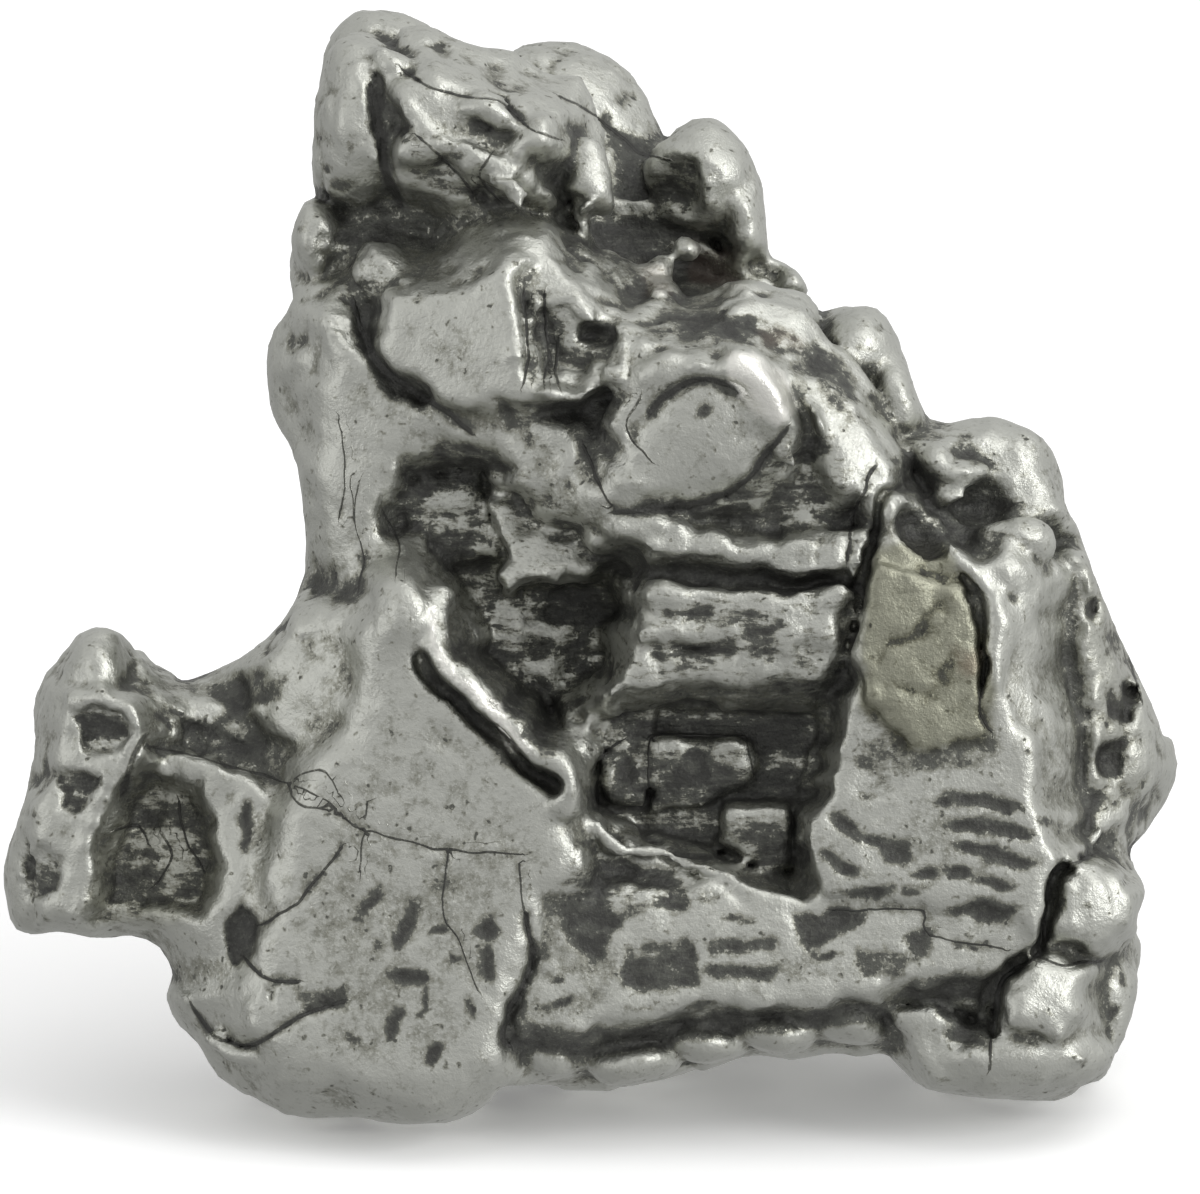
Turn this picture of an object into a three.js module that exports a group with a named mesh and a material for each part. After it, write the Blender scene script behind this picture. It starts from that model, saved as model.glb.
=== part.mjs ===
import * as THREE from "three";

// A natural fragment of iron meteorite, in millimetres, resting as it stands on a table.
// The forms are laid out from the upper left corner of its front face: right, down and out of the face.
const faceHeight = 33.6; // from the top of the face down to the level of the lowest point
const leanBack = 15; // degrees that the face leans back when the fragment rests
const bodyRadius = 6; // half the thickness of the plain mass before the forms are added
const restLevel = 0.65; // height that is worn flat where the fragment rests
const restSnap = 0.16; // points nearer than this to the resting plane lie on it
const cell = { right: 0.91, down: 0.91, out: 1.0 }; // size of the facets
const corner = { right: -1.4, down: -1.3, out: -13.2 }; // first corner of the measured space
const count = { right: 43, down: 41, out: 25 }; // cells along each way
const evening = 0.5; // how much of its neighbours each measured value takes on
const crispness = 3; // curve points between two outline points
const slabDepth = 4; // how far a slab goes into the mass behind it
const fillDepth = 0.02; // how deep a filled corner counts as inside

// outline of the face, clockwise: right, down
const edgeLine = [
  [11.2, 0.15], [10.4, 0.4], [9.65, 1.5], [9.3, 4.95], [9.4, 5.85], [9, 6.3], [8.6, 7.9], [8.85, 9],
  [8.1, 10.4], [8.2, 12.3], [9, 14], [9.2, 17.25], [7.95, 19.3], [5.7, 20.45], [5.1, 20.2], [4.5, 19.9],
  [3.65, 18.95], [2.4, 18.95], [1.15, 20.85], [1.15, 22.4], [0.85, 24], [0.2, 26], [0.4, 27.6],
  [0.9, 27.95], [1.8, 27.85], [3, 28.05], [4.45, 28.15], [5.25, 29.15], [5, 29.85], [5.4, 30.65],
  [6, 31.2], [6.65, 32.25], [8.1, 32.95], [8.55, 33.25], [9.6, 33.4], [10.8, 33.35], [12, 33.55],
  [13.8, 33.4], [14.7, 32.85], [15.15, 32.4], [16.65, 32.4], [17.1, 32.6], [19.65, 32.5], [22.35, 31.55],
  [23.7, 31.65], [24.9, 31.5], [25.8, 31.6], [26.55, 31.5], [27.45, 32.35], [28.5, 32.7], [31.65, 32.9],
  [32.4, 32.45], [33.25, 31.95], [34.3, 28.8], [33.95, 27.55], [34.25, 26.7], [33.85, 25.55],
  [34.5, 24.75], [35.25, 23.4], [35.15, 22.35], [34.8, 22.05], [34.5, 21.15], [33, 18], [32.25, 15.9],
  [31.85, 15.25], [31.8, 14.4], [31.2, 13.2], [29.7, 12.55], [27.75, 12.6], [26.7, 9.55], [25.35, 9.1],
  [24.6, 9.25], [23.85, 8.1], [23.1, 7.5], [23, 5.7], [21.75, 3.6], [20.4, 3.65], [19.95, 3.95],
  [19.05, 2.1], [17.55, 1.15], [15.9, 1.15], [14.85, 1.5], [13.65, 1.2], [12.3, 0.35],
];

// where the middle of the thickness lies: right, down, out, and how thick against the plain mass
const midDepths = [
  [12, 2.5, -3, 0.8], [17.5, 2.5, -5.5, 0.8], [21.5, 5.5, -4.5, 0.7], [24, 9, -4.5, 0.8],
  [9.5, 8, -1.5, 0.8], [8.5, 11.5, -3.5, 0.8], [9.5, 16, -1.5, 0.9], [6.5, 21, 1, 0.6],
  [3, 19.5, 1.5, 0.5], [1.5, 26, 2.5, 0.5], [6, 29.5, 2.5, 0.8], [11, 32.5, 2, 0.9], [18, 32, 0.5, 1],
  [25, 31, 0, 1], [30.5, 32.5, -0.6, 0.9], [33.8, 29.5, -1, 0.8], [34, 26.5, 2, 0.7], [35, 23, -2, 0.8],
  [33, 18, -2, 0.9], [31, 13.5, -2, 0.9], [27, 10.5, -3, 0.8], [19, 18, -1.5, 1], [13, 25, 0, 1],
  [26, 23, -1, 1],
];

// lumps and slabs are joined on, hollows, pits and grooves are cut, in this order
const forms = [
  {
    name: "lower left face", kind: "slab", out: 7.5, tilt: [0.12, 0.04], draft: 0.5, edge: 1.2,
    blend: 0.9,
    outline: [
      [12, 17.6], [12.8, 18], [13.2, 19.8], [15, 22.2], [16.8, 23.6], [17.2, 24.9], [17.3, 26.1],
      [16.2, 26.9], [15.7, 28.8], [15.2, 30.5], [14.6, 31.9], [12.8, 32.7], [10.8, 32.5], [8.6, 32],
      [7.6, 30.6], [8, 28.6], [8.3, 26.5], [8.9, 24.6], [9.4, 23.2], [10.4, 22.2], [11, 21], [11.2, 19.2]],
  },
  {
    name: "lower left shelf", kind: "slab", out: 5.6, tilt: [0.45, 0], draft: 0.4, edge: 0.8, blend: 0.8,
    outline: [
      [7.3, 25.6], [9.6, 26], [10.2, 29.5], [9.5, 31.9], [7.4, 31.7], [6.2, 30.4], [6.6, 28.2]],
  },
  {
    name: "upper left strap", kind: "slab", out: 5.4, tilt: [0.32, 0], draft: 0.7, edge: 0.9, blend: 1,
    outline: [
      [10, 9.9], [11.7, 11.3], [14.1, 12], [16.8, 12.9], [19.2, 14.9], [19.2, 15.9], [18, 16.3],
      [16.4, 15], [15, 13.7], [13.2, 13], [12, 13.6], [11.5, 15], [11, 16.8], [10.4, 17.8], [9.9, 15],
      [9.7, 12.6]],
  },
  {
    name: "pyramid", kind: "slab", out: 6.2, tilt: [0.35, 0.12], draft: 0.4, edge: 0.5, blend: 0.5,
    outline: [
      [11.7, 10.2], [12, 9], [13.4, 7.9], [14.4, 7.3], [15.5, 8.2], [15.5, 10.5], [16.2, 11.8],
      [15, 12.3], [13.2, 12], [11.9, 10.9]],
  },
  {
    name: "pyramid upper facet", kind: "slab", out: 6.6, tilt: [0.1, 0.55], draft: 0.25, edge: 0.5,
    blend: 0.4,
    outline: [
      [14.4, 7.3], [16.2, 7.2], [18, 8.4], [19.8, 9.6], [21.4, 10.4], [19.5, 10.6], [18.6, 11.4],
      [16.4, 12], [15.4, 10.5], [15.4, 8.9]],
  },
  {
    name: "collar", kind: "rib", radius: 0.42, blend: 0.5,
    path: [
      [12.6, 7.8, 4], [14.2, 6.5, 4.8], [15.8, 6.1, 5.1], [17, 7.6, 5.9], [21, 10.2, 7.1]],
  },
  {
    name: "nose", kind: "lump", at: [21.1, 12.9, 4.8], half: [3.1, 2.5, 3], blend: 0.7,
  },
  {
    name: "nose front", kind: "slab", out: 7.6, tilt: [0, -0.08], draft: 0.5, edge: 0.7, blend: 0.5,
    outline: [
      [19.2, 13.2], [20, 12], [21.1, 11.5], [22.4, 12], [23.2, 12.9], [22.4, 14.2], [21, 14.7],
      [19.2, 15], [18.4, 14.9]],
  },
  {
    name: "nose brow", kind: "rib", radius: 0.75, blend: 0.7,
    path: [
      [19, 13, 6.6], [20.1, 11.5, 7.2], [22.1, 11.6, 7.6], [23.6, 12.8, 6.9]],
  },
  {
    name: "nose top", kind: "slab", out: 6.2, tilt: [0, 0.8], draft: 0.6, edge: 0.6, blend: 0.7,
    outline: [
      [19, 10.8], [21.5, 10.4], [23.6, 10.7], [24.2, 12], [22.4, 11.8], [21, 11.3], [19.6, 11.9]],
  },
  {
    name: "ledge under the nose", kind: "slab", out: 6.1, tilt: [0.06, -0.1], draft: 0.3, edge: 0.5,
    blend: 0.5,
    outline: [
      [18.7, 15.2], [22.6, 14.7], [24, 13], [26.2, 14.8], [25.8, 16.8], [18.6, 16.8]],
  },
  {
    name: "slanting bar", kind: "slab", out: 6.8, tilt: [-0.35, 0.4], draft: 0.4, edge: 0.5, blend: 0.4,
    outline: [
      [23.8, 11.2], [24.8, 11.5], [26.8, 14], [26.6, 15], [25.6, 14.9], [24, 12.7]],
  },
  {
    name: "block core", kind: "slab", out: 6.3, tilt: [0, 0], draft: 0.2, edge: 0.5, blend: 0.35,
    outline: [
      [18.3, 16.6], [25.7, 16.6], [25.1, 20.5], [19.3, 20.9], [18.3, 20.5]],
  },
  {
    name: "block row 1", kind: "slab", out: 7.2, tilt: [-0.03, 0.1], draft: 0.4, edge: 0.5, blend: 0.35,
    outline: [
      [18.4, 15.7], [20.4, 15.8], [21, 16.2], [26, 16.2], [25.7, 17], [23.4, 17.2], [22.8, 16.8],
      [18.4, 16.7]],
  },
  {
    name: "block row 2", kind: "slab", out: 7.3, tilt: [0, 0.03], draft: 0.2, edge: 0.5, blend: 0.35,
    outline: [
      [18.4, 17.3], [20.4, 17.7], [25.3, 17.6], [25.1, 19.4], [18.4, 19.4]],
  },
  {
    name: "bottom slab", kind: "slab", out: 7.4, tilt: [0, 0.04], draft: 0.6, edge: 0.5, blend: 0.5,
    outline: [
      [16.6, 27], [18, 26.5], [21.6, 26.7], [24, 27.2], [24.9, 26.6], [30, 26.8], [31, 28.2], [29.9, 29],
      [27, 29.2], [26.1, 29.8], [22.2, 29.9], [18, 30.5], [15.8, 30.9], [15.7, 30.2], [16.2, 28.8]],
  },
  {
    name: "wedge facet", kind: "slab", out: 6.6, tilt: [0, 0.2], draft: 0.4, edge: 0.5, blend: 0.5,
    outline: [
      [17, 24.2], [18.6, 25.2], [21.6, 26.1], [24, 27.1], [21, 27.1], [17.8, 26.9], [17.2, 25.6]],
  },
  {
    name: "right block", kind: "slab", out: 7.5, tilt: [0, 0.03], draft: 0.25, edge: 0.5, blend: 0.4,
    outline: [
      [26.2, 15.1], [27.2, 15.2], [28.8, 16.8], [30, 16.8], [30.3, 19.2], [30, 21], [31.5, 23.7],
      [32.2, 25], [31.4, 26], [31, 27.9], [30, 27.2], [24.8, 26.9], [24.3, 25.7], [24.9, 23.4],
      [25.6, 20.7], [25.9, 17.7]],
  },
  {
    name: "cheek", kind: "slab", out: 6.4, tilt: [-0.85, 0], draft: 0.4, edge: 0.5, blend: 0.4,
    outline: [
      [30, 16.8], [31.9, 17.6], [31.7, 20.4], [32.4, 24.8], [31.5, 24], [30, 21], [30.3, 19.2]],
  },
  {
    name: "right rim", kind: "slab", out: 3.9, tilt: [-0.9, 0], draft: 0.5, edge: 0.6, blend: 0.7,
    outline: [
      [32.2, 17], [32.8, 18.2], [33.9, 21], [34.5, 22.9], [33.7, 24.6], [32.8, 25], [32.5, 24],
      [32.4, 21], [32.2, 19.2]],
  },
  {
    name: "upper right cap", kind: "lump", at: [30.4, 14.4, 2], half: [1.4, 1.7, 2.4], blend: 0.7,
  },
  {
    name: "upper right pebble", kind: "lump", at: [28.8, 14.3, 4], half: [0.9, 0.6, 1.1], blend: 0.35,
  },
  {
    name: "upper right shelf", kind: "lump", at: [30.3, 16.3, 5.4], half: [1.3, 0.8, 1.2], blend: 0.5,
  },
  {
    name: "knob block", kind: "slab", out: 6.8, tilt: [-0.3, 0.1], draft: 0.2, edge: 0.6, blend: 0.35,
    outline: [
      [31.7, 26.3], [32.5, 25.9], [33.2, 26], [33.9, 26.7], [33.5, 27.5], [32.7, 28.3], [31.8, 28.3],
      [31.5, 27.7]],
  },
  {
    name: "lower knob", kind: "slab", out: 7.4, tilt: [-0.2, 0.25], draft: 0.25, edge: 0.6, blend: 0.35,
    outline: [
      [30.4, 29.2], [31.2, 28.8], [32.5, 29], [32.3, 30.2], [31.5, 30.9], [30.4, 30.7], [30.1, 30]],
  },
  {
    name: "right foot", kind: "lump", at: [30, 31.5, 3.8], half: [3.2, 1.5, 3.2], blend: 0.5,
  },
  {
    name: "foot plate", kind: "slab", out: 6.5, tilt: [0, -0.1], draft: 0.3, edge: 0.5, blend: 0.35,
    outline: [
      [26.9, 30.3], [28.2, 30.1], [29.8, 30.9], [31.6, 31.3], [32.2, 31.6], [31, 32.4], [28.4, 32.2],
      [27.2, 31.6]],
  },
  {
    name: "back right lobe", kind: "lump", at: [33.3, 29.8, 1.2], half: [1, 1.9, 2.4], blend: 0.5,
  },
  {
    name: "bottom lump 1", kind: "lump", at: [16.4, 31.6, 4.6], half: [1.6, 0.7, 2], blend: 0.35,
  },
  {
    name: "bottom lump 2", kind: "lump", at: [18.9, 31.7, 5.2], half: [1.5, 0.7, 1.8], blend: 0.35,
  },
  {
    name: "bottom lump 3", kind: "lump", at: [21, 31.2, 5.2], half: [1.3, 0.65, 1.6], blend: 0.35,
  },
  {
    name: "bottom lump 4", kind: "lump", at: [23.2, 30.8, 5.2], half: [1.4, 0.65, 1.7], blend: 0.35,
  },
  {
    name: "bottom lump 5", kind: "lump", at: [25.4, 30.6, 5.2], half: [1.2, 0.7, 1.7], blend: 0.35,
  },
  {
    name: "left foot knob", kind: "lump", at: [12.9, 32, 5.2], half: [2.1, 1.5, 2.5], blend: 0.5,
  },
  {
    name: "left lobe of the top", kind: "lump", at: [10.8, 3.8, 0.2], half: [1.5, 2.8, 3], blend: 0.5,
  },
  {
    name: "ridge of the top", kind: "slab", out: 4.2, tilt: [-0.1, 0.2], draft: 0.5, edge: 0.6,
    blend: 0.5,
    outline: [
      [12, 3], [12.9, 2.4], [14.6, 3.3], [16.3, 3.9], [16.5, 4.7], [16.2, 5.5], [15.2, 5.6], [14, 5],
      [12.8, 4.6], [12, 4.4]],
  },
  {
    name: "ridge lobe wedge", kind: "slab", out: 3.4, tilt: [0.1, -0.3], draft: 0.5, edge: 0.5,
    blend: 0.35,
    outline: [
      [12.1, 4.4], [13.5, 4.9], [14.7, 5.7], [13.8, 6.2], [12.2, 5.5]],
  },
  {
    name: "top tooth", kind: "lump", at: [16, 4.5, 3], half: [0.7, 1.1, 1.5], blend: 0.4,
  },
  {
    name: "second tooth", kind: "rib", radius: 0.5, blend: 0.35,
    path: [
      [17.5, 4.7, 1.7], [17.9, 6.3, 2.3]],
  },
  {
    name: "upper knob", kind: "lump", at: [21.2, 5.4, -1.3], half: [1.8, 1.8, 2.7], blend: 0.5,
  },
  {
    name: "upper knob arm", kind: "lump", at: [22.3, 6.6, -1], half: [0.8, 1.8, 2.2], blend: 0.5,
  },
  {
    name: "hump", kind: "lump", at: [22.6, 9.8, 2.6], half: [2.2, 1.4, 2.2], blend: 0.4,
  },
  {
    name: "small shoulder", kind: "lump", at: [23.5, 8.3, -1.2], half: [1, 0.6, 1.6], spin: 30,
    blend: 0.4,
  },
  {
    name: "right shoulder", kind: "lump", at: [25.8, 10.7, 1.2], half: [1.4, 1.5, 2.8], blend: 0.4,
  },
  {
    name: "right shoulder flank", kind: "lump", at: [26.8, 12.2, 1.6], half: [1, 1.7, 2.9], blend: 0.5,
  },
  {
    name: "left small lobe", kind: "lump", at: [9.4, 7.3, 0.4], half: [0.8, 1.4, 2], blend: 0.4,
  },
  {
    name: "left rough lump", kind: "lump", at: [11.4, 8.3, 2.2], half: [1, 1, 1.5], blend: 0.4,
  },
  {
    name: "left bulge", kind: "lump", at: [9.2, 12, -2.6], half: [1.1, 2.4, 3], blend: 0.6,
  },
  {
    name: "saddle", kind: "slab", out: 5.2, tilt: [0.6, 0.2], draft: 0.5, edge: 0.6, blend: 0.7,
    outline: [
      [9.2, 18.5], [11.1, 18], [11, 21], [9.2, 22.4], [7.7, 21.4], [7.6, 20.5]],
  },
  {
    name: "shoulder peak", kind: "lump", at: [12.2, 18.3, 6], half: [1, 1.2, 1.6], blend: 0.5,
  },
  {
    name: "web", kind: "slab", out: 3.4, tilt: [0.1, 0.45], draft: 0.4, edge: 0.5, blend: 0.5,
    outline: [
      [4.6, 20.9], [7, 21], [7.8, 22.2], [4.6, 21.9]],
  },
  {
    name: "plate round the socket", kind: "slab", out: 4.8, tilt: [0.25, 0], draft: 0.2, edge: 0.5,
    blend: 0.4,
    outline: [
      [4.4, 22.3], [7.5, 23.1], [8.2, 23.7], [7.8, 25.5], [7, 27.1], [6, 27.7], [4.5, 27.7], [2.6, 27.6],
      [3.4, 24.4]],
  },
  {
    name: "bar of the spur", kind: "slab", out: 5.3, tilt: [0.4, 0], draft: 0.4, edge: 0.5, blend: 0.35,
    outline: [
      [3, 20.5], [4.5, 21.9], [3.9, 23.3], [3.3, 25], [2.5, 27.4], [1.2, 27.4], [0.8, 26.5], [1.5, 23.7],
      [1.8, 22.2], [2.2, 21]],
  },
  {
    name: "head of the spur", kind: "lump", at: [3.1, 20.1, 2.6], half: [1.1, 1.4, 2.2], blend: 0.4,
  },
  {
    name: "shelf ridge", kind: "rib", radius: 0.42, blend: 0.35,
    path: [
      [6.4, 31, 5.2], [8, 31.3, 6], [9.4, 30.1, 6.9]],
  },
  {
    name: "cavity", kind: "hollow", out: 3, rim: 6.6, tilt: [0, -0.05], draft: 0.25, blend: 0.35,
    outline: [
      [11.9, 14.4], [12.6, 13.5], [14.3, 13.4], [15.9, 14.6], [17.8, 16], [18.3, 16.9], [18.35, 19.4],
      [18.2, 20.4], [17.4, 21.4], [17, 22.5], [15.8, 22], [14.2, 20.3], [13.4, 18.9], [12.9, 17.7],
      [12.2, 16.4], [11.9, 15.2]],
  },
  {
    name: "deep of the cavity", kind: "hollow", out: 1.6, rim: 3.2, tilt: [0, 0], draft: 0.3, blend: 0.35,
    outline: [
      [15.3, 17.6], [18.2, 17.2], [18.2, 19.4], [17.4, 20.4], [15.6, 19.4]],
  },
  {
    name: "lower recess", kind: "hollow", out: 4.5, rim: 7, tilt: [0.02, 0.08], draft: 0.2, blend: 0.35,
    outline: [
      [17.7, 20.9], [19.2, 20.9], [25.1, 20.9], [24.4, 23.7], [24, 26.7], [21.6, 26], [19.2, 25.3],
      [17.7, 24.3], [17.3, 22.6]],
  },
  {
    name: "plate recess", kind: "hollow", out: 6.6, rim: 7.4, tilt: [0.08, -0.05], draft: 0.5,
    blend: 0.35,
    outline: [
      [25.9, 16.9], [28.5, 17.5], [29.6, 19.3], [29.4, 20.8], [29.1, 22], [27.2, 22.3], [26, 21.2],
      [25.7, 19.2]],
  },
  {
    name: "socket", kind: "hollow", out: 2, rim: 4.6, tilt: [0.1, 0.1], draft: 0.2, blend: 0.35,
    outline: [
      [4.4, 23.3], [6.1, 23.5], [6.6, 25.8], [6, 27.2], [4.5, 27.3], [2.8, 27.2], [3.5, 25]],
  },
  {
    name: "left valley", kind: "hollow", out: 0.9, rim: 3, tilt: [0, 0.2], draft: 0.5, blend: 0.4,
    outline: [
      [9.3, 5.9], [12, 6.1], [13.6, 6.5], [14.4, 6.5], [13, 7.6], [12, 7.7], [10.6, 7.2]],
  },
  {
    name: "right valley", kind: "hollow", out: 0.2, rim: 3, tilt: [0, 0.35], draft: 0.4, blend: 0.4,
    outline: [
      [16.6, 5.4], [19.2, 6], [21.8, 7.4], [21.9, 8.3], [20.8, 9], [19.2, 8.6], [17.3, 7.3], [16.6, 6.4]],
  },
  {
    name: "pyramid pocket", kind: "hollow", out: 5.2, rim: 6.8, tilt: [0.3, 0], draft: 0.15, blend: 0.35,
    outline: [
      [15.6, 8.9], [17.2, 9], [18.5, 9.8], [18.6, 10.7], [17.8, 11.3], [16.2, 11.5]],
  },
  {
    name: "knob cavity", kind: "pit", at: [20.5, 6.4, 1.6], half: [1.4, 1, 1.9], blend: 0.35,
  },
  {
    name: "cap cavity", kind: "pit", at: [29.4, 15.1, 5], half: [1.2, 0.8, 1.7], blend: 0.35,
  },
  {
    name: "block top cavity", kind: "pit", at: [27.7, 15.8, 6.8], half: [1, 1.1, 1.6], spin: 40,
    blend: 0.35,
  },
  {
    name: "main cleft", kind: "groove", width: 0.42, floor: 4.7, draft: 0.2, blend: 0.35,
    path: [
      [26.6, 14.8], [25.9, 16.8], [25.4, 19.8], [25, 20.9], [24.4, 23.1], [24, 26.4]],
  },
  {
    name: "right cleft", kind: "groove", width: 0.3, floor: 4.9, draft: 0.2, blend: 0.35,
    path: [
      [32.3, 25.7], [31.4, 26.3], [31.1, 28.3], [30, 29.1], [29.7, 30.3], [29.9, 30.8]],
  },
  {
    name: "top crack", kind: "groove", width: 0.3, floor: 1.5, draft: 0.2, blend: 0.35,
    path: [
      [11.3, 2.8], [11.7, 3.6], [11.9, 4.6], [12, 5.8]],
  },
  {
    name: "strap gap", kind: "groove", width: 0.3, floor: 3.9, draft: 0.2, blend: 0.35,
    path: [
      [10.8, 9.2], [11.2, 10.2], [11.6, 11], [12.6, 11.9]],
  },
  {
    name: "shoulder valley", kind: "groove", width: 0.3, floor: 2.9, draft: 0.2, blend: 0.35,
    path: [
      [24.9, 10.6], [25.5, 11.8], [26, 12.6], [27, 13.8]],
  },
  {
    name: "rim valley", kind: "groove", width: 0.3, floor: 4.3, draft: 0.4, blend: 0.4,
    path: [
      [32.1, 17.4], [32.2, 19.4], [32.3, 21.4], [32.7, 24.6]],
  },
  {
    name: "cavity wedge", kind: "slab", out: 4.9, tilt: [0, 0.4], draft: 0.1, edge: 0.5, blend: 0.35,
    outline: [
      [15, 15], [16.1, 15.1], [18.1, 16.4], [17.6, 17.1], [15.2, 17.8]],
  },
  {
    name: "cavity shelf", kind: "slab", out: 3.8, tilt: [0, 0], draft: 0.3, edge: 0.5, blend: 0.35,
    outline: [
      [12.2, 14.3], [14.3, 14.1], [14.8, 15], [14.7, 16.8], [13.2, 17.1], [12.3, 16.2]],
  },
  {
    name: "recess flake 2", kind: "slab", out: 5.1, tilt: [0, 0], draft: 0.2, edge: 0.5, blend: 0.35,
    outline: [
      [19.7, 22.2], [22.4, 22.2], [22.5, 23.4], [21.6, 24], [19.7, 24.2]],
  },
  {
    name: "recess block", kind: "slab", out: 5.7, tilt: [0, 0], draft: 0.3, edge: 0.5, blend: 0.35,
    outline: [
      [21.9, 24.2], [23.7, 24.2], [23.6, 25.5], [23, 25.9], [21.8, 25.2]],
  },
  {
    name: "lip of the face", kind: "rib", radius: 0.42, blend: 0.35,
    path: [
      [13, 18, 6.6], [13.4, 19.9, 7.6], [15.2, 21.8, 8], [16.7, 22.9, 8.1], [17, 24, 7.9]],
  },
  {
    name: "wedge ridge", kind: "rib", radius: 0.42, blend: 0.35,
    path: [
      [17, 24.2, 6.8], [18.7, 25.3, 7], [21, 26, 7], [24, 27.1, 7.2]],
  },
  {
    name: "plate rim", kind: "rib", radius: 0.42, blend: 0.35,
    path: [
      [28.4, 16.4, 7.2], [29.7, 18.4, 7.5], [29.8, 20.2, 7.6], [29.5, 21, 7.5]],
  },
  {
    name: "rear foot", kind: "lump", at: [20, 28.7, -6.4], half: [4.4, 2.6, 2.6], blend: 1.2,
  },
  {
    name: "rear face", kind: "slab", side: -1, out: 7.9, tilt: [0.1, -0.1], draft: 0.6, edge: 0.8,
    blend: 0.8,
    outline: [
      [15.4, 16], [22, 15.2], [26, 18.4], [25.4, 23], [20.6, 25.6], [15.2, 24], [13.2, 19.6]],
  },
  {
    name: "rear shoulder", kind: "slab", side: -1, out: 6.6, tilt: [-0.2, 0.3], draft: 0.6, edge: 0.7,
    blend: 0.7,
    outline: [
      [12, 8.4], [17.6, 7.6], [21.6, 10.2], [21, 14], [15.4, 14.8], [11.6, 12.6]],
  },
  {
    name: "rear flank", kind: "slab", side: -1, out: 6.4, tilt: [-0.45, 0.05], draft: 0.5, edge: 0.6,
    blend: 0.6,
    outline: [
      [27.4, 17.6], [31.4, 18.8], [32.8, 23.4], [30.2, 26.4], [27, 24.6], [26.2, 20.6]],
  },
  {
    name: "rear left flank", kind: "slab", side: -1, out: 5.6, tilt: [0.35, 0], draft: 0.5, edge: 0.6,
    blend: 0.6,
    outline: [
      [8, 22], [11.6, 20.4], [13.4, 24.2], [12, 28.2], [8.4, 28.8], [7, 25.4]],
  },
  {
    name: "rear lobe 1", kind: "lump", at: [14, 4.6, -4.6], half: [2.6, 2, 2.6], blend: 0.6,
  },
  {
    name: "rear lobe 2", kind: "lump", at: [25.2, 13.4, -5.4], half: [2.2, 2.6, 2.4], blend: 0.6,
  },
  {
    name: "rear lobe 3", kind: "lump", at: [29.6, 28.6, -3.6], half: [2.6, 2.2, 2.8], blend: 0.6,
  },
  {
    name: "rear lobe 4", kind: "lump", at: [10, 15.6, -5], half: [1.6, 2.2, 2.4], blend: 0.6,
  },
  {
    name: "rear knob", kind: "lump", at: [21, 8.4, -6.4], half: [1.6, 1.5, 2], blend: 0.5,
  },
  {
    name: "rear hollow 1", kind: "hollow", side: -1, out: 6.2, rim: 8, tilt: [0, 0.1], draft: 0.6,
    blend: 0.5,
    outline: [
      [16.6, 18.6], [20.4, 17.6], [22, 20.2], [19.4, 22.8], [16.4, 21.8]],
  },
  {
    name: "rear hollow 2", kind: "hollow", side: -1, out: 4.8, rim: 7, tilt: [0.1, 0], draft: 0.6,
    blend: 0.5,
    outline: [
      [14, 9.6], [17.2, 9.2], [17.8, 12], [14.6, 13.2]],
  },
  {
    name: "rear pit 1", kind: "pit", at: [28.6, 21.4, -6.6], half: [1.2, 1.7, 1.5], blend: 0.4,
  },
  {
    name: "rear pit 2", kind: "pit", at: [10.8, 24.6, -5.6], half: [1, 1.4, 1.3], blend: 0.4,
  },
  {
    name: "rear pit 3", kind: "pit", at: [24.2, 22.8, -8], half: [1, 0.8, 1.3], blend: 0.35,
  },
  {
    name: "rear pit 4", kind: "pit", at: [19.4, 12.4, -7.2], half: [0.9, 0.8, 1.3], blend: 0.35,
  },
  {
    name: "rear cleft", kind: "hollow", side: -1, out: 5, rim: 8, tilt: [0, 0], draft: 0.3, blend: 0.35,
    outline: [
      [22.4, 14.6], [23, 14.8], [22.8, 19.6], [24.2, 24.4], [23.6, 24.6], [22.2, 19.8]],
  },
];

const smoothMin = (a, b, blend) => {
  const near = Math.max(blend - Math.abs(a - b), 0) / blend;
  return Math.min(a, b) - near * near * blend * 0.25;
};

const smoothMax = (a, b, blend) => -smoothMin(-a, -b, blend);

// points of a closed curve that runs through the given points
const curveThrough = (points, steps) => {
  const flat = points.map(([right, down]) => new THREE.Vector3(right, down, 0));
  const curve = new THREE.CatmullRomCurve3(flat, true, "catmullrom", 0.5);
  return curve.getPoints(points.length * steps).slice(0, -1).map((p) => [p.x, p.y]);
};

// distance to a closed outline, negative inside it
const outlineDistance = (points, right, down) => {
  let best = Infinity;
  let inside = false;
  let [fromRight, fromDown] = points[points.length - 1];
  for (const [toRight, toDown] of points) {
    const alongRight = toRight - fromRight;
    const alongDown = toDown - fromDown;
    const offRight = right - fromRight;
    const offDown = down - fromDown;
    const length = alongRight * alongRight + alongDown * alongDown;
    const share = Math.min(Math.max((offRight * alongRight + offDown * alongDown) / length, 0), 1);
    const distance = Math.hypot(offRight - share * alongRight, offDown - share * alongDown);
    best = Math.min(best, distance);
    if (fromDown > down !== toDown > down) {
      const crossing = fromRight + (alongRight * (down - fromDown)) / alongDown;
      if (right < crossing) inside = !inside;
    }
    fromRight = toRight;
    fromDown = toDown;
  }
  return inside ? -best : best;
};

// distance to an open path of any number of coordinates
const pathDistance = (points, place) => {
  let best = Infinity;
  for (let i = 1; i < points.length; i += 1) {
    const from = points[i - 1];
    const along = points[i].slice(0, place.length).map((value, k) => value - from[k]);
    const off = place.map((value, k) => value - from[k]);
    const length = along.reduce((sum, value) => sum + value * value, 0);
    const dot = along.reduce((sum, value, k) => sum + value * off[k], 0);
    const share = Math.min(Math.max(dot / length, 0), 1);
    best = Math.min(best, Math.hypot(...off.map((value, k) => value - share * along[k])));
  }
  return best;
};

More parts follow.
